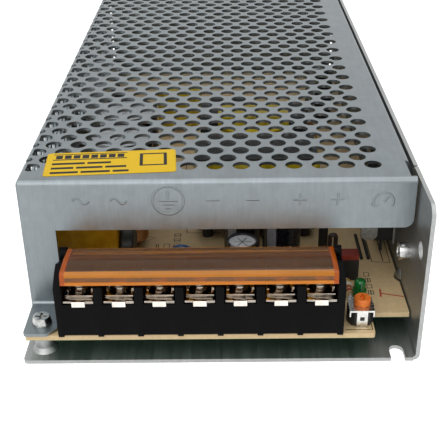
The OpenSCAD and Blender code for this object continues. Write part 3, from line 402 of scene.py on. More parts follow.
class SUPPLY_OT_finish_terminals(bpy.types.Operator):
    """Rounds and finishes the barrier block, its guard, its plates, clamps and screws"""

    bl_idname = "supply.finish_terminals"
    bl_label = "Finish the terminals"

    def execute(self, context):
        supply = context.scene.supply
        # Glass-filled PBT: near black, satin, with a fine moulded grain
        pbt = grained("black_pbt", linear("#060607"), linear("#0b0b0d"), 0.35, (0.42, 0.56), 0.004,
                      Specular_IOR_Level=0.06)
        keep(softened("terminal_block", "terminal_housing", pbt, supply.detail.edge_round / MM), "case",
             ["terminal_block"])
        self.guard(supply.finish)
        # Nickel-plated brass: warm white mirror with a little haze
        plate = grained("nickel_plate", linear("#8a837a"), linear("#aaa298"), 1.2, (0.06, 0.14), Metallic=1.0)
        # A lighter copy of the same nickel, a painted highlight for the plates' front faces
        bright = grained("nickel_painted_highlight", linear("#d2cbc2"), linear("#ece5dc"), 1.2, (0.1, 0.2), Metallic=1.0)
        plates = softened("terminal_plates", "nickel_plates", plate, 0.08)
        plates.data.materials.append(bright)
        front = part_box("terminal_plates")[0].y
        # Faces at the front of the plates take the lighter copy, a painted highlight
        for face in plates.data.polygons:
            face.material_index = int(face.center.y < front + 0.2 * MM)
        keep(plates, "case", ["terminal_plates"])
        for k in WAYS:
            keep(softened(f"clamp_washer_{k}", f"clamp_plate_{k}", plate, 0.1), f"clamp_{k}",
                 [f"clamp_washer_{k}"])
            keep(softened(f"terminal_screw_{k}", f"pan_screw_{k}", plate, 0.18), f"screw_{k}",
                 [f"terminal_screw_{k}"])
        return {"FINISHED"}

    def guard(self, look):
        """Splits the guard's faces between its clear walls, a lighter copy on its front edges as a painted
        highlight, a deeper orange copy on its end walls as painted light standing in for light passing
        through them, and a less clear copy on its skirt.
        """
        clear = amber_polycarbonate("amber_polycarbonate", look.guard_amber, 0.95, 0.16)
        guard = softened("terminal_cover", "amber_guard", clear, 0.2, 2)
        guard.data.materials.append(amber_polycarbonate("amber_edge_painted_highlight", look.guard_edge_highlight, 0.45, 0.12))
        guard.data.materials.append(amber_polycarbonate("amber_cheek_painted_orange", look.guard_end_painted_orange, 0.45, 0.12))
        guard.data.materials.append(amber_polycarbonate("amber_skirt", look.guard_amber, 0.84, 0.1))
        low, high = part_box("terminal_cover")
        pin, cheek = 0.9 * MM, 1.1 * MM
        first, last = low.x + pin + cheek, high.x - pin - cheek
        highlight_depth, highlight_height, skirt_depth = 2.0 * MM, 0.75 * MM, 1.5 * MM
        work = bmesh.new()
        work.from_mesh(guard.data)
        for x in (first, last):
            bmesh.ops.bisect_plane(work, geom=work.verts[:] + work.edges[:] + work.faces[:],
                                   plane_co=(x, 0, 0), plane_no=(1, 0, 0), dist=1e-7)
        for face in work.faces:
            spot, way = face.calc_center_median(), face.normal
            face.smooth = True
            # End walls get the painted deeper orange; the front chamfer and the bottom front edge get the
            # painted highlight
            if not first < spot.x < last:
                face.material_index = 2
            elif way.y < -0.15 and way.z > 0.15 and spot.y < low.y + highlight_depth:
                face.material_index = 1
            elif spot.z < low.z + highlight_height and spot.y < low.y + highlight_depth / 2:
                face.material_index = 1
            elif spot.y < low.y + skirt_depth and abs(way.y) > 0.9:
                face.material_index = 3
        work.to_mesh(guard.data)
        work.free()
        keep(guard, "guard", ["terminal_cover"])


def amber_polycarbonate(name, tint, see_through, roughness):
    """Tinted polycarbonate: clear and glossy; the guard's lighter edges and deeper orange ends are copies of
    it with painted light. It lets lamps through.
    """
    material = plain(name, tint, roughness, IOR=1.5, Transmission_Weight=see_through, Specular_IOR_Level=0.14)
    tree = material.node_tree
    shader = tree.nodes["Principled BSDF"]
    output = tree.nodes["Material Output"]
    place = node(tree, "ShaderNodeTexCoord").outputs["Object"]
    # Flow lines of the moulding, a few millimetres long, stir the tint a little
    flow = node(tree, "ShaderNodeMapping", {"Vector": place, "Scale": (0.3, 1.0, 1.0)}).outputs[0]
    flow = node(tree, "ShaderNodeTexNoise",
                {"Vector": flow, "Scale": 1 / (3.0 * MM), "Detail": 2.0}).outputs[0]
    body = node(tree, "ShaderNodeMix", {0: flow, 6: scaled(tint, 0.8), 7: scaled(tint, 1.15)},
                data_type="RGBA").outputs[2]
    tree.links.new(body, shader.inputs["Base Color"])
    clear = node(tree, "ShaderNodeBsdfTransparent", {"Color": scaled(tint, 0.8)}).outputs[0]
    shadow = node(tree, "ShaderNodeLightPath").outputs["Is Shadow Ray"]
    mixed = node(tree, "ShaderNodeMixShader", {0: shadow, 1: shader.outputs[0], 2: clear}).outputs[0]
    tree.links.new(mixed, output.inputs["Surface"])
    return material


class SUPPLY_OT_finish_board(bpy.types.Operator):
    """Finishes the circuit board and the parts that stand on it"""

    bl_idname = "supply.finish_board"
    bl_label = "Finish the board and its parts"

    def execute(self, context):
        look = context.scene.supply.finish
        give(paper_laminate(look.board_top, look.board_under), "circuit_board")
        for name in CANS:
            give(sleeved_can(name), name)
        # Moulded epoxy: flat black with a sparkle of filler
        epoxy = grained("black_epoxy", linear("#131313"), linear("#1f1f20"), 0.3, (0.5, 0.65), 0.004)
        give(epoxy, "bridge_rectifier", "switching_transistors", "output_rectifier", "control_chip",
             "upright_diode")
        # Sintered ferrite: dark grey and matt
        give(grained("ferrite", linear("#1a1a1b"), linear("#29292b"), 0.5, (0.5, 0.7), 0.01), "choke_core",
             "transformer_core")
        give(polyester_tape(), "choke_tape", "transformer_winding", "drive_transformer")
        # Enamelled copper: translucent brown over metal
        copper = grained("enamelled_copper", linear("#6d3a17"), linear("#a15c26"), 2.0, (0.25, 0.4),
                         Metallic=0.8)
        give(copper, "line_choke")
        give(grained("iron_powder_paint", linear("#3c3a20"), linear("#5f5a2c"), 1.0, (0.4, 0.6)),
             "output_inductor")
        give(grained("trimmer_black", linear("#101010"), linear("#1b1b1b"), 0.4, (0.35, 0.5)), "trimmer_body",
             "link_header")
        tinned = grained("tinned_steel", linear("#bdbdb9"), linear("#e2e2de"), 0.7, (0.18, 0.34),
                         Metallic=1.0)
        give(tinned, "trimmer_strap", "fuse_clips")
        give(grained("orange_nylon", linear("#d2641a"), linear("#ee8128"), 1.2, (0.38, 0.5), 0.004),
             "trimmer_rotor")
        give(grained("green_epoxy", linear("#14602a"), linear("#1f8a3c"), 1.5, (0.12, 0.2), IOR=1.55,
                     Transmission_Weight=0.25), "indicator_led")
        give(banded_resistor(), "led_resistor")
        give(grained("red_moulding", linear("#6d1c10"), linear("#8d2a18"), 1.0, (0.35, 0.5)), "link_cap")
        give(grained("brown_sleeving", linear("#20140e"), linear("#35231a"), 0.8, (0.4, 0.55)), "shunt_loop")
        give(grained("black_sleeving", linear("#0c0c0c"), linear("#191919"), 0.8, (0.35, 0.5)), "board_links")
        give(grained("amber_box", linear("#c48a0c"), linear("#dfa61c"), 3.0, (0.28, 0.4), 0.004),
             "mains_capacitor")
        give(grained("dark_dip_coat", linear("#131511"), linear("#22241e"), 1.0, (0.4, 0.6), 0.02),
             "thermistor")
        give(grained("blue_dip_coat", linear("#1c4c78"), linear("#2f6fa6"), 1.4, (0.22, 0.36), 0.02),
             "bypass_capacitor")
        give(grained("plain_aluminium", linear("#a9abab"), linear("#cfd0cf"), 0.8, (0.3, 0.45), 0.003,
                     (1.0, 0.08, 1.0), Metallic=1.0), "switching_heatsink")
        give(grained("silicone_pad", linear("#8f8f8a"), linear("#a9a9a4"), 1.0, (0.6, 0.75)), "rectifier_pad")
        give(fuse_glass(), "fuse")
        return {"FINISHED"}


def paper_laminate(top, under):
    """Paper phenolic laminate: warm cream with fine fibre mottling, green solder resist underneath."""
    material = grained("paper_laminate", scaled(top, 0.9), scaled(top, 1.03), 1.2, (0.42, 0.55), 0.003)
    tree = material.node_tree
    shader = tree.nodes["Principled BSDF"]
    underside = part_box("circuit_board")[0].z + 0.06 * MM
    below = node(tree, "ShaderNodeMath", {0: object_axes(tree)[2], 1: underside},
                 operation="LESS_THAN").outputs[0]
    warm = shader.inputs["Base Color"].links[0].from_socket
    tint = node(tree, "ShaderNodeMix", {0: below, 6: warm, 7: list(under)[:3] + [1.0]},
                data_type="RGBA").outputs[2]
    tree.links.new(tint, shader.inputs["Base Color"])
    return material


def sleeved_can(name):
    """Shrink sleeve with a polarity stripe, cut back round the bare aluminium end of the can."""
    low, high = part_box(name)
    centre = (low + high) / 2
    radius = (high.x - low.x) / 2
    sleeve_lap, sleeve_roll = 0.5 * MM, 1.2 * MM
    stripe_at, stripe_half = -2.2, 0.28
    material = grained(f"can_sleeve_{name}", linear("#101116"), linear("#1b1c22"), 1.5, (0.22, 0.34))
    tree = material.node_tree
    shader = tree.nodes["Principled BSDF"]
    place = node(tree, "ShaderNodeTexCoord").outputs["Object"]
    local = node(tree, "ShaderNodeVectorMath", {0: place, 1: tuple(centre)}, operation="SUBTRACT").outputs[0]
    axes = node(tree, "ShaderNodeSeparateXYZ", {"Vector": local}).outputs
    out = node(tree, "ShaderNodeCombineXYZ", {"X": axes[0], "Y": axes[1], "Z": 0.0}).outputs[0]
    far = node(tree, "ShaderNodeVectorMath", {0: out}, operation="LENGTH").outputs["Value"]
    inside = node(tree, "ShaderNodeMath", {0: far, 1: radius - sleeve_lap}, operation="LESS_THAN").outputs[0]
    above = node(tree, "ShaderNodeMath", {0: axes[2], 1: (high.z - low.z) / 2 - sleeve_roll},
                 operation="GREATER_THAN").outputs[0]
    bare = node(tree, "ShaderNodeMath", {0: inside, 1: above}, operation="MULTIPLY").outputs[0]
    # Polarity stripe down one side of the sleeve
    turn = node(tree, "ShaderNodeMath", {0: axes[1], 1: axes[0]}, operation="ARCTAN2").outputs[0]
    offset = node(tree, "ShaderNodeMath", {0: turn, 1: stripe_at}, operation="SUBTRACT").outputs[0]
    offset = node(tree, "ShaderNodeMath", {0: offset}, operation="ABSOLUTE").outputs[0]
    near = node(tree, "ShaderNodeMath", {0: offset, 1: stripe_half}, operation="LESS_THAN").outputs[0]
    base = shader.inputs["Base Color"].links[0].from_socket
    striped = node(tree, "ShaderNodeMix", {0: near, 6: base, 7: linear("#8f9196")},
                   data_type="RGBA").outputs[2]
    tint = node(tree, "ShaderNodeMix", {0: bare, 6: striped, 7: linear("#cfd2d4")},
                data_type="RGBA").outputs[2]
    tree.links.new(tint, shader.inputs["Base Color"])
    tree.links.new(bare, shader.inputs["Metallic"])
    # The bare end of the can is blasted dull, the sleeve is glossy
    sheen = shader.inputs["Roughness"].links[0].from_socket
    dull = node(tree, "ShaderNodeMath", {0: bare, 1: 0.3}, operation="MULTIPLY").outputs[0]
    sheen = node(tree, "ShaderNodeMath", {0: sheen, 1: dull}, operation="ADD").outputs[0]
    tree.links.new(sheen, shader.inputs["Roughness"])
    return material


def polyester_tape():
    """Polyester tape: bright yellow, glossy, with the edges of its turns as faint lines."""
    material = grained("polyester_tape", linear("#b39c17"), linear("#dcc62e"), 3.0, (0.16, 0.3), 0.01)
    tree = material.node_tree
    shader = tree.nodes["Principled BSDF"]
    place = node(tree, "ShaderNodeTexCoord").outputs["Object"]
    wave = node(tree, "ShaderNodeTexWave", {"Vector": place, "Scale": 0.31 / (4.0 * MM), "Distortion": 1.2},
                bands_direction="Z").outputs[1]
    line = node(tree, "ShaderNodeMapRange", {"Value": wave, "From Min": 0.0, "From Max": 0.12, "To Min": 0.72,
                                             "To Max": 1.0}).outputs[0]
    base = shader.inputs["Base Color"].links[0].from_socket
    tint = node(tree, "ShaderNodeVectorMath", {0: base, 1: line}, operation="MULTIPLY").outputs[0]
    tree.links.new(tint, shader.inputs["Base Color"])
    return material


def banded_resistor():
    """Tan lacquer with painted rings."""
    material = grained("resistor_lacquer", linear("#b9986a"), linear("#d2b487"), 0.8, (0.25, 0.4))
    tree = material.node_tree
    shader = tree.nodes["Principled BSDF"]
    low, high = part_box("led_resistor")
    share = node(tree, "ShaderNodeMapRange", {"Value": object_axes(tree)[1], "From Min": low.y,
                                              "From Max": high.y}).outputs[0]
    ramp = node(tree, "ShaderNodeValToRGB", {0: share})
    ramp.color_ramp.interpolation = "CONSTANT"
    bands = [(0.0, "#c9c7c0"), (0.17, "#cbb084"), (0.24, "#a02318"), (0.33, "#cbb084"), (0.42, "#b5281b"),
             (0.5, "#cbb084"), (0.58, "#e9e4d8"), (0.66, "#cbb084"), (0.74, "#b08a2e"), (0.83, "#c9c7c0")]
    while len(ramp.color_ramp.elements) < len(bands):
        ramp.color_ramp.elements.new(0.5)
    for element, (at, code) in zip(ramp.color_ramp.elements, bands):
        element.position = at
        element.color = linear(code)
    tree.links.new(ramp.outputs[0], shader.inputs["Base Color"])
    return material


def fuse_glass():
    """Clear tube between nickel caps."""
    low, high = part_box("fuse")
    material = plain("fuse_glass", linear("#dfe6e4"), 0.05, IOR=1.5)
    tree = material.node_tree
    shader = tree.nodes["Principled BSDF"]
    cap_inner = 4.95 * MM
    off = node(tree, "ShaderNodeMath", {0: object_axes(tree)[0], 1: (low.x + high.x) / 2},
               operation="SUBTRACT").outputs[0]
    far = node(tree, "ShaderNodeMath", {0: off}, operation="ABSOLUTE").outputs[0]
    cap = node(tree, "ShaderNodeMath", {0: far, 1: cap_inner}, operation="GREATER_THAN").outputs[0]
    clear = node(tree, "ShaderNodeMath", {0: 0.85, 1: cap}, operation="SUBTRACT", use_clamp=True).outputs[0]
    tree.links.new(cap, shader.inputs["Metallic"])
    tree.links.new(clear, shader.inputs["Transmission Weight"])
    return material


# ---- Stamped marks and print ----
class SUPPLY_OT_stamp_marks(bpy.types.Operator):
    """Stamps plain terminal symbols into the front lip"""

    bl_idname = "supply.stamp_marks"
    bl_label = "Stamp the lip"

    def execute(self, context):
        detail = context.scene.supply.detail
        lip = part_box("chassis")[0].y + detail.lip_back
        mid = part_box("cover")[1].z - detail.mark_drop
        lines = []
        for x in WAVE_MARKS:
            lines.append([((x + 0.25 * i - 2.0) * MM, mid + 0.8 * MM * math.sin(i * math.pi / 8), 0.0)
                          for i in range(17)])
        x = EARTH_MARK * MM
        lines.append(arc(x, mid, 3.75 * MM, 0, 360, 40)[:-1])
        lines[-1].append(lines[-1][0])
        lines.append([(x, mid + 2.4 * MM, 0.0), (x, mid, 0.0)])
        for drop, half in ((0.0, 2.2), (1.0, 1.4), (2.0, 0.6)):
            lines.append([(x - half * MM, mid - drop * MM, 0.0), (x + half * MM, mid - drop * MM, 0.0)])
        arm = 1.6
        for x in MINUS_MARKS + PLUS_MARKS:
            lines.append([((x - arm) * MM, mid, 0.0), ((x + arm) * MM, mid, 0.0)])
        for x in PLUS_MARKS:
            lines.append([(x * MM, mid - arm * MM, 0.0), (x * MM, mid + arm * MM, 0.0)])
        x = DIAL_MARK * MM
        lines.append(arc(x, mid - 0.8 * MM, 2.4 * MM, -30, 210))
        tip = lines[-1][-1]
        lines.append([(tip[0] - 0.9 * MM, tip[1] + 0.7 * MM, 0.0), tip,
                      (tip[0] + 1.0 * MM, tip[1] + 0.5 * MM, 0.0)])
        lines.append([(x, mid - 0.8 * MM, 0.0), (x + 1.2 * MM, mid + 0.6 * MM, 0.0)])
        # Painted shade: the same steel, a shade darker and smoother, stands in for the shade of the stamped
        # relief
        steel = context.scene.supply.finish.cover_steel
        stamped = grained("stamped_steel_painted_shade", scaled(steel, 0.8), scaled(steel, 1.0), 0.8, (0.28, 0.4),
                          Metallic=1.0)
        upright = (math.pi / 2, 0, 0)
        marks = strokes("lip_marks", lines, detail.mark_stroke, detail.mark_rise, (0, lip, 0), upright,
                        stamped)
        keep(marks, "case")
        return {"FINISHED"}


def outline(x0, y0, x1, y1):
    """The four sides of a printed frame as one closed line, in millimetres."""
    return [(x0, y0), (x1, y0), (x1, y1), (x0, y1), (x0, y0)]


class SUPPLY_OT_print_board(bpy.types.Operator):
    """Prints part outlines and plain marks on the circuit board"""

    bl_idname = "supply.print_board"
    bl_label = "Print the board"

    def execute(self, context):
        detail = context.scene.supply.detail
        ink = grained("board_ink", linear("#231c16"), linear("#332a20"), 0.5, (0.5, 0.6))
        red = grained("marker_ink", linear("#b03a28"), linear("#c8503a"), 0.8, (0.5, 0.6))
        # Corners round the adjuster and the filter capacitor, and the bay of the rectifier's clamp
        lines = [[(30.2, -97.0), (36.9, -97.0), (36.8, -90.2)],
                 [(0.1, -48.8), (-10.1, -48.7), (-10.2, -44.0)],
                 [(41.3, -54.0), (41.3, -65.6), (46.2, -66.1), (46.4, -54.0)], [(44.4, -65.3), (44.5, -54.0)]]
        # Signs beside the capacitor: a diode's triangle, two bars and a split frame
        lines += [[(-22.5, -50.0), (-19.0, -51.5), (-22.3, -53.6), (-22.5, -50.0)],
                  [(-18.6, -55.0), (-18.6, -59.0)], [(-18.0, -55.0), (-18.0, -59.0)],
                  outline(-16.4, -55.0, -14.8, -60.0), [(-16.4, -57.4), (-14.8, -57.4)],
                  [(-22.0, -45.5), (-17.5, -45.5)]]
        # Reference marks: small frames and bars in two columns
        for row in range(4):
            y = -71.2 - 2.9 * row
            lines.append(outline(38.2, y, 39.5, y - 1.7))
            if row % 2:
                lines.append([(38.85, y), (38.85, y - 1.7)])
            y = -49.0 - 3.0 * row
            lines.append(outline(-13.6, y, -11.9, y - 1.9))
            if row != 2:
                lines.append([(-13.6, y - 0.95), (-11.9, y - 0.95)])
        lines += [outline(-42.0, -46.0, -26.0, -34.0), outline(-12.0, -8.0, 6.0, 4.0),
                  outline(14.0, 30.0, 30.0, 46.0)]
        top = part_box("circuit_board")[1].z
        pen = [[(41.4, -79.2), (41.1, -82.9)], [(41.3, -81.2), (44.0, -82.0), (47.0, -82.8)]]
        for name, paths, width, material in (("board_print", lines, detail.print_stroke, ink),
                                             ("pen_mark", pen, 1.6 * detail.print_stroke, red)):
            paths = [[(x * MM, y * MM, 0.0) for x, y in path] for path in paths]
            mark = strokes(name, paths, width, detail.print_rise, (0, 0, top), (0, 0, 0), material)
            keep(mark, "case")
        return {"FINISHED"}


# ---- Windings ----
def ring_tree():
    """Lays turns of wire round a ring or, where a height is given, stacks them into an upright coil."""
    tree, start, end = group("Wire turns",
                             [("Turns", "NodeSocketInt", 30), ("Path", "NodeSocketFloat", 0.008),
                                            ("Coil", "NodeSocketFloat", 0.005),
                                            ("Wire", "NodeSocketFloat", 0.001),
                                            ("Place", "NodeSocketVector", None),
                                            ("Height", "NodeSocketFloat", 0.0),
                                            ("Material", "NodeSocketMaterial", None)])
    given = start.outputs
    loop = node(tree, "GeometryNodeCurvePrimitiveCircle",
                {"Resolution": 96, "Radius": given["Path"]}).outputs[0]
    spots = node(tree, "GeometryNodeCurveToPoints", {"Curve": loop, "Count": given["Turns"]},
                 mode="COUNT").outputs
    half = node(tree, "ShaderNodeMath", {0: given["Wire"], 1: 0.5}, operation="MULTIPLY").outputs[0]
    turn = node(tree, "GeometryNodeCurvePrimitiveCircle",
                {"Resolution": 28, "Radius": given["Coil"]}).outputs[0]
    wire = node(tree, "GeometryNodeCurvePrimitiveCircle", {"Resolution": 8, "Radius": half}).outputs[0]
    tube = node(tree, "GeometryNodeCurveToMesh", {"Curve": turn, "Profile Curve": wire}).outputs[0]
    laid = node(tree, "GeometryNodeInstanceOnPoints", {"Points": spots["Points"], "Instance": tube,
                                                       "Rotation": spots["Rotation"]}).outputs[0]
    rise = node(tree, "ShaderNodeCombineXYZ", {"Z": given["Height"]}).outputs[0]
    line = node(tree, "GeometryNodeMeshLine", {"Count": given["Turns"], "Offset": rise},
                mode="END_POINTS").outputs[0]
    stacked = node(tree, "GeometryNodeInstanceOnPoints", {"Points": line, "Instance": tube}).outputs[0]
    tall = node(tree, "FunctionNodeCompare", {0: given["Height"], 1: 0.0001}, data_type="FLOAT",
                operation="GREATER_THAN").outputs[0]
    picked = node(tree, "GeometryNodeSwitch", {"Switch": tall, "False": laid, "True": stacked},
                  input_type="GEOMETRY").outputs[0]
    moved = node(tree, "GeometryNodeTransform",
                 {"Geometry": picked, "Translation": given["Place"]}).outputs[0]
    return close_tree(tree, moved, start, end)


class SUPPLY_OT_score_vents(bpy.types.Operator):
    """Draws the scored vent on each can's metal top as a dark strip, painted shade in the groove"""

    bl_idname = "supply.score_vents"
    bl_label = "Score the vents"

    def execute(self, context):
        detail = context.scene.supply.detail
        # Painted shade: the scored groove drawn as a dark strip of aluminium, standing in for the shade in it
        dark = grained("vent_groove_painted_shade", linear("#2c2d2e"), linear("#454749"), 0.5, (0.5, 0.6),
                       Metallic=0.4)
        work = bmesh.new()
        for name in CANS:
            low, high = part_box(name)
            centre, reach = (low + high) / 2, (high.x - low.x) * 0.3
            for turn in (0, 60, 120):
                arm = Matrix.Rotation(math.radians(turn), 3, "Z") @ Vector((reach, 0, 0))
                line = [((centre + way * arm).x, (centre + way * arm).y, 0.0) for way in (-1, 1)]
                vent = strokes(f"vent_{name}_{turn}", [line], detail.vent_stroke, detail.vent_rise,
                               (0, 0, high.z - detail.vent_drop), (0, 0, 0), dark)
                work.from_mesh(vent.data)
                bpy.data.objects.remove(vent)
        mesh = bpy.data.meshes.new("can_vents")
        work.to_mesh(mesh)
        work.free()
        keep(from_mesh("can_vents", mesh, dark), "case")
        return {"FINISHED"}


class SUPPLY_OT_wind_coils(bpy.types.Operator):
    """Winds the ring choke and both sides of the line choke"""

    bl_idname = "supply.wind_coils"
    bl_label = "Wind the coils"

    def execute(self, context):
        detail = context.scene.supply.detail
        tree = ring_tree()
        copper = bpy.data.materials["enamelled_copper"]
        seed = bpy.data.meshes.new("seed")
        low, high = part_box("output_inductor")
        section = (high.z - low.z) / 2
        values = {"Turns": detail.ring_turns, "Path": (high.x - low.x) / 2 - section, "Wire": detail.wire_d,
                  "Coil": section + detail.wire_d * 0.2, "Place": tuple((low + high) / 2), "Height": 0.0,
                  "Material": copper}
        keep(grow("ring_winding", tree, seed, values), "case")
        low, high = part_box("line_choke")
        # The limbs of the line choke stand this far from its middle; the turns start above its lower bar
        limb, first_turn = 8 * MM, 2.9 * MM
        for side, hand in ((-1, "left"), (1, "right")):
            place = ((low.x + high.x) / 2 + side * limb, (low.y + high.y) / 2, low.z + first_turn)
            values = {"Turns": detail.line_turns, "Coil": 4.5 * MM, "Wire": detail.line_wire_d,
                      "Place": place, "Height": 9.6 * MM, "Material": copper}
            keep(grow(f"line_winding_{hand}", tree, bpy.data.meshes.new("seed"), values), "case")
        return {"FINISHED"}


# ---- Sticker ----
class SUPPLY_OT_sticker(bpy.types.Operator):
    """Lays the printed sticker on the top of the cover"""

    bl_idname = "supply.sticker"
    bl_label = "Lay the sticker"

    def execute(self, context):
        detail = context.scene.supply.detail
        look = context.scene.supply.finish
        width, depth = detail.sticker_size
        thick, corner = detail.sticker_thick, detail.sticker_corner
        centre = Vector((*detail.sticker_place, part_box("cover")[1].z))
        turn = Matrix.Rotation(detail.sticker_turn, 4, "Z")
        columns, rows = 64, 28
        work = bmesh.new()
        layer = work.loops.layers.uv.new("print")
        grid, shares = [], {}
        for j in range(rows + 1):
            for i in range(columns + 1):
                u, v = i / columns, j / rows
                x, y = (u - 0.5) * width, (v - 0.5) * depth
                # Pulls the corner points in to a radius
                dx = max(0.0, abs(x) - (width / 2 - corner))
                dy = max(0.0, abs(y) - (depth / 2 - corner))
                reach = math.hypot(dx, dy)
                if reach > corner:
                    x -= math.copysign(dx * (1 - corner / reach), x)
                    y -= math.copysign(dy * (1 - corner / reach), y)
                point = centre + turn @ Vector((x, y, thick))
                vert = work.verts.new(point)
                shares[vert] = (u, v)
                grid.append(vert)
        for j in range(rows):
            for i in range(columns):
                a = j * (columns + 1) + i
                face = work.faces.new((grid[a], grid[a + 1], grid[a + columns + 2], grid[a + columns + 1]))
                for loop in face.loops:
                    loop[layer].uv = shares[loop.vert]
        mesh = bpy.data.meshes.new("sticker")
        work.to_mesh(mesh)
        work.free()
        sticker = from_mesh("sticker", mesh, printed_film(look.sticker_yellow, look.ink), smooth=True)
        sheet = sticker.modifiers.new("thickness", "SOLIDIFY")
        sheet.thickness = thick
        sheet.offset = -1.0
        keep(settle(sticker), "case")
        return {"FINISHED"}


def printed_film(paper, ink):
    """Gloss vinyl film: yellow ground, with plain dark bars where a sticker carries its print."""
    material = grained("printed_vinyl", scaled(paper, 0.95), paper, 2.0, (0.45, 0.55),
                       Specular_IOR_Level=0.15)
    tree = material.node_tree
    shader = tree.nodes["Principled BSDF"]
    place = node(tree, "ShaderNodeUVMap", uv_map="print").outputs[0]
    axes = node(tree, "ShaderNodeSeparateXYZ", {"Vector": place}).outputs
    # Each bar is left, right, bottom, top as shares of the sticker
    bars = [(0.05, 0.62, 0.66, 0.70), (0.05, 0.62, 0.90, 0.93)]
    bars += [(0.07 + 0.068 * i, 0.07 + 0.068 * i + 0.052, 0.72, 0.875) for i in range(8)]
    for row, (bottom, ends) in enumerate([(0.46, (0.3, 0.5)), (0.27, (0.22, 0.44, 0.62)),
                                          (0.08, (0.26, 0.5, 0.64))]):
        left = 0.05
        for right in ends:
            bars.append((left, right, bottom, bottom + 0.085))
            left = right + 0.02
    bars += [(0.72, 0.93, 0.30, 0.35), (0.72, 0.93, 0.80, 0.85), (0.72, 0.745, 0.30, 0.85),
             (0.905, 0.93, 0.30, 0.85)]
    total = None
    for left, right, bottom, top in bars:
        parts = []
        for axis, low, high in ((axes[0], left, right), (axes[1], bottom, top)):
            off = node(tree, "ShaderNodeMath", {0: axis, 1: (low + high) / 2},
                       operation="SUBTRACT").outputs[0]
            far = node(tree, "ShaderNodeMath", {0: off}, operation="ABSOLUTE").outputs[0]
            parts.append(node(tree, "ShaderNodeMath", {0: far, 1: (high - low) / 2},
                              operation="LESS_THAN").outputs[0])
        bar = node(tree, "ShaderNodeMath", {0: parts[0], 1: parts[1]}, operation="MULTIPLY").outputs[0]
        total = bar if total is None else node(tree, "ShaderNodeMath", {0: total, 1: bar},
                                               operation="MAXIMUM").outputs[0]
    base = shader.inputs["Base Color"].links[0].from_socket
    tint = node(tree, "ShaderNodeMix", {0: total, 6: base, 7: list(ink)[:3] + [1.0]},
                data_type="RGBA").outputs[2]
    tree.links.new(tint, shader.inputs["Base Color"])
    return material


# ---- Stage ----
class SUPPLY_OT_stage(bpy.types.Operator):
    """Makes the pale floor, the soft lights, the world and the camera"""

    bl_idname = "supply.stage"
    bl_label = "Set the stage"

    def execute(self, context):
        studio = context.scene.supply.studio
        context.scene.view_settings.view_transform = "Standard"
        mesh = bpy.data.meshes.new("floor")
        reach = 3.0
        mesh.from_pydata([(-reach, -reach, 0), (reach, -reach, 0), (reach, reach, 0), (-reach, reach, 0)], [],
                         [(0, 1, 2, 3)])
        mesh.materials.append(seen_white("studio_floor", studio.floor_grey))
        floor = link(bpy.data.objects.new("floor", mesh))
        self.world(context.scene, studio.surround)
        self.light("key_light", (-0.3, -0.95, 0.9), 1.5, studio.key_watts)
        self.light("top_light", (0.1, 0.1, 1.2), 1.2, studio.top_watts)
        self.camera(context.scene, studio)
        return {"FINISHED"}

    def world(self, scene, surround):
        """A white surround for the camera, metal and glass, and a dimmer one that lights matt surfaces."""
        world = bpy.data.worlds.new("studio")
        scene.world = world
        world.use_nodes = True
        tree = world.node_tree
        background = tree.nodes["Background"]
        background.inputs["Color"].default_value = (1, 1, 1, 1)
        level = node(tree, "ShaderNodeMapRange",
                     {"Value": shown(tree), "To Min": surround, "To Max": 1.0}).outputs[0]
        tree.links.new(level, background.inputs["Strength"])

    def light(self, name, place, size, watts):
        data = bpy.data.lights.new(name, "AREA")
        data.shape = "DISK"
        data.size = size
        data.energy = watts
        lamp = link(bpy.data.objects.new(name, data))
        lamp.location = place
        lamp.rotation_mode = "QUATERNION"
        lamp.rotation_quaternion = (-Vector(place)).to_track_quat("-Z", "Y")

    def camera(self, scene, studio):
        data = bpy.data.cameras.new("camera")
        data.sensor_width = 36.0
        data.lens = studio.lens_mm
        data.clip_start, data.clip_end = 0.01, 50.0
        turn, down, roll = studio.camera_turn, studio.camera_down, studio.camera_roll
        ahead = Vector((math.sin(turn) * math.cos(down), math.cos(turn) * math.cos(down), -math.sin(down)))
        side = Vector((math.cos(turn), -math.sin(turn), 0))
        up = side.cross(ahead)
        right = math.cos(roll) * side + math.sin(roll) * up
        top = -math.sin(roll) * side + math.cos(roll) * up
        camera = link(bpy.data.objects.new("camera", data))
        camera.matrix_world = Matrix((right, top, -ahead)).transposed().to_4x4()
        camera.location = studio.camera_place
        scene.camera = camera


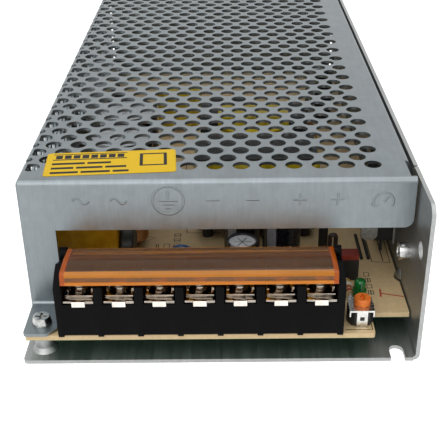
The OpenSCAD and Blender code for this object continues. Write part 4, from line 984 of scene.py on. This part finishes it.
def shown(tree):
    """One on rays from the camera and off or through metal and glass, and nought on rays of plain light."""
    path = node(tree, "ShaderNodeLightPath").outputs
    first = node(tree, "ShaderNodeMath", {0: path["Is Camera Ray"], 1: path["Is Glossy Ray"]},
                 operation="MAXIMUM").outputs[0]
    return node(tree, "ShaderNodeMath", {0: first, 1: path["Is Transmission Ray"]},
                operation="MAXIMUM").outputs[0]


def seen_white(name, tint):
    """A pale floor that keeps shadows but shows as white paper to the camera."""
    material = grained(name, scaled(tint, 0.99), tint, 400.0, (0.7, 0.8), Specular_IOR_Level=0.0)
    tree = material.node_tree
    strength = node(tree, "ShaderNodeMath", {0: shown(tree), 1: 0.6}, operation="MULTIPLY").outputs[0]
    glow = node(tree, "ShaderNodeEmission", {"Color": (1, 1, 1, 1), "Strength": strength}).outputs[0]
    both = node(tree, "ShaderNodeAddShader",
                {0: tree.nodes["Principled BSDF"].outputs[0], 1: glow}).outputs[0]
    tree.links.new(both, tree.nodes["Material Output"].inputs["Surface"])
    return material


# ---- Sidebar ----
class SUPPLY_PT_panel(bpy.types.Panel):
    """Runs each step and holds its settings"""

    bl_label = "Power Supply"
    bl_idname = "SUPPLY_PT_panel"
    bl_space_type = "VIEW_3D"
    bl_region_type = "UI"
    bl_category = "Power Supply"

    def draw(self, context):
        column = self.layout.column()
        for operator in OPERATORS:
            column.operator(operator.bl_idname)
        for part in ("studio", "finish", "detail"):
            settings = getattr(context.scene.supply, part)
            for prop in settings.bl_rna.properties:
                if prop.identifier not in ("rna_type", "name"):
                    column.prop(settings, prop.identifier)


OPERATORS = (SUPPLY_OT_stage, SUPPLY_OT_finish_case, SUPPLY_OT_finish_terminals, SUPPLY_OT_finish_board,
             SUPPLY_OT_stamp_marks, SUPPLY_OT_print_board, SUPPLY_OT_score_vents, SUPPLY_OT_wind_coils,
             SUPPLY_OT_sticker)
CLASSES = (StudioSettings, FinishSettings, DetailSettings, SupplySettings) + OPERATORS + (SUPPLY_PT_panel,)


def register():
    for item in CLASSES:
        bpy.utils.register_class(item)
    bpy.types.Scene.supply = PointerProperty(type=SupplySettings)


def unregister():
    del bpy.types.Scene.supply
    for item in reversed(CLASSES):
        bpy.utils.unregister_class(item)


def main():
    register()
    for operator in OPERATORS:
        name = operator.bl_idname.split(".")[1]
        getattr(bpy.ops.supply, name)()


if __name__ == "__main__":
    main()
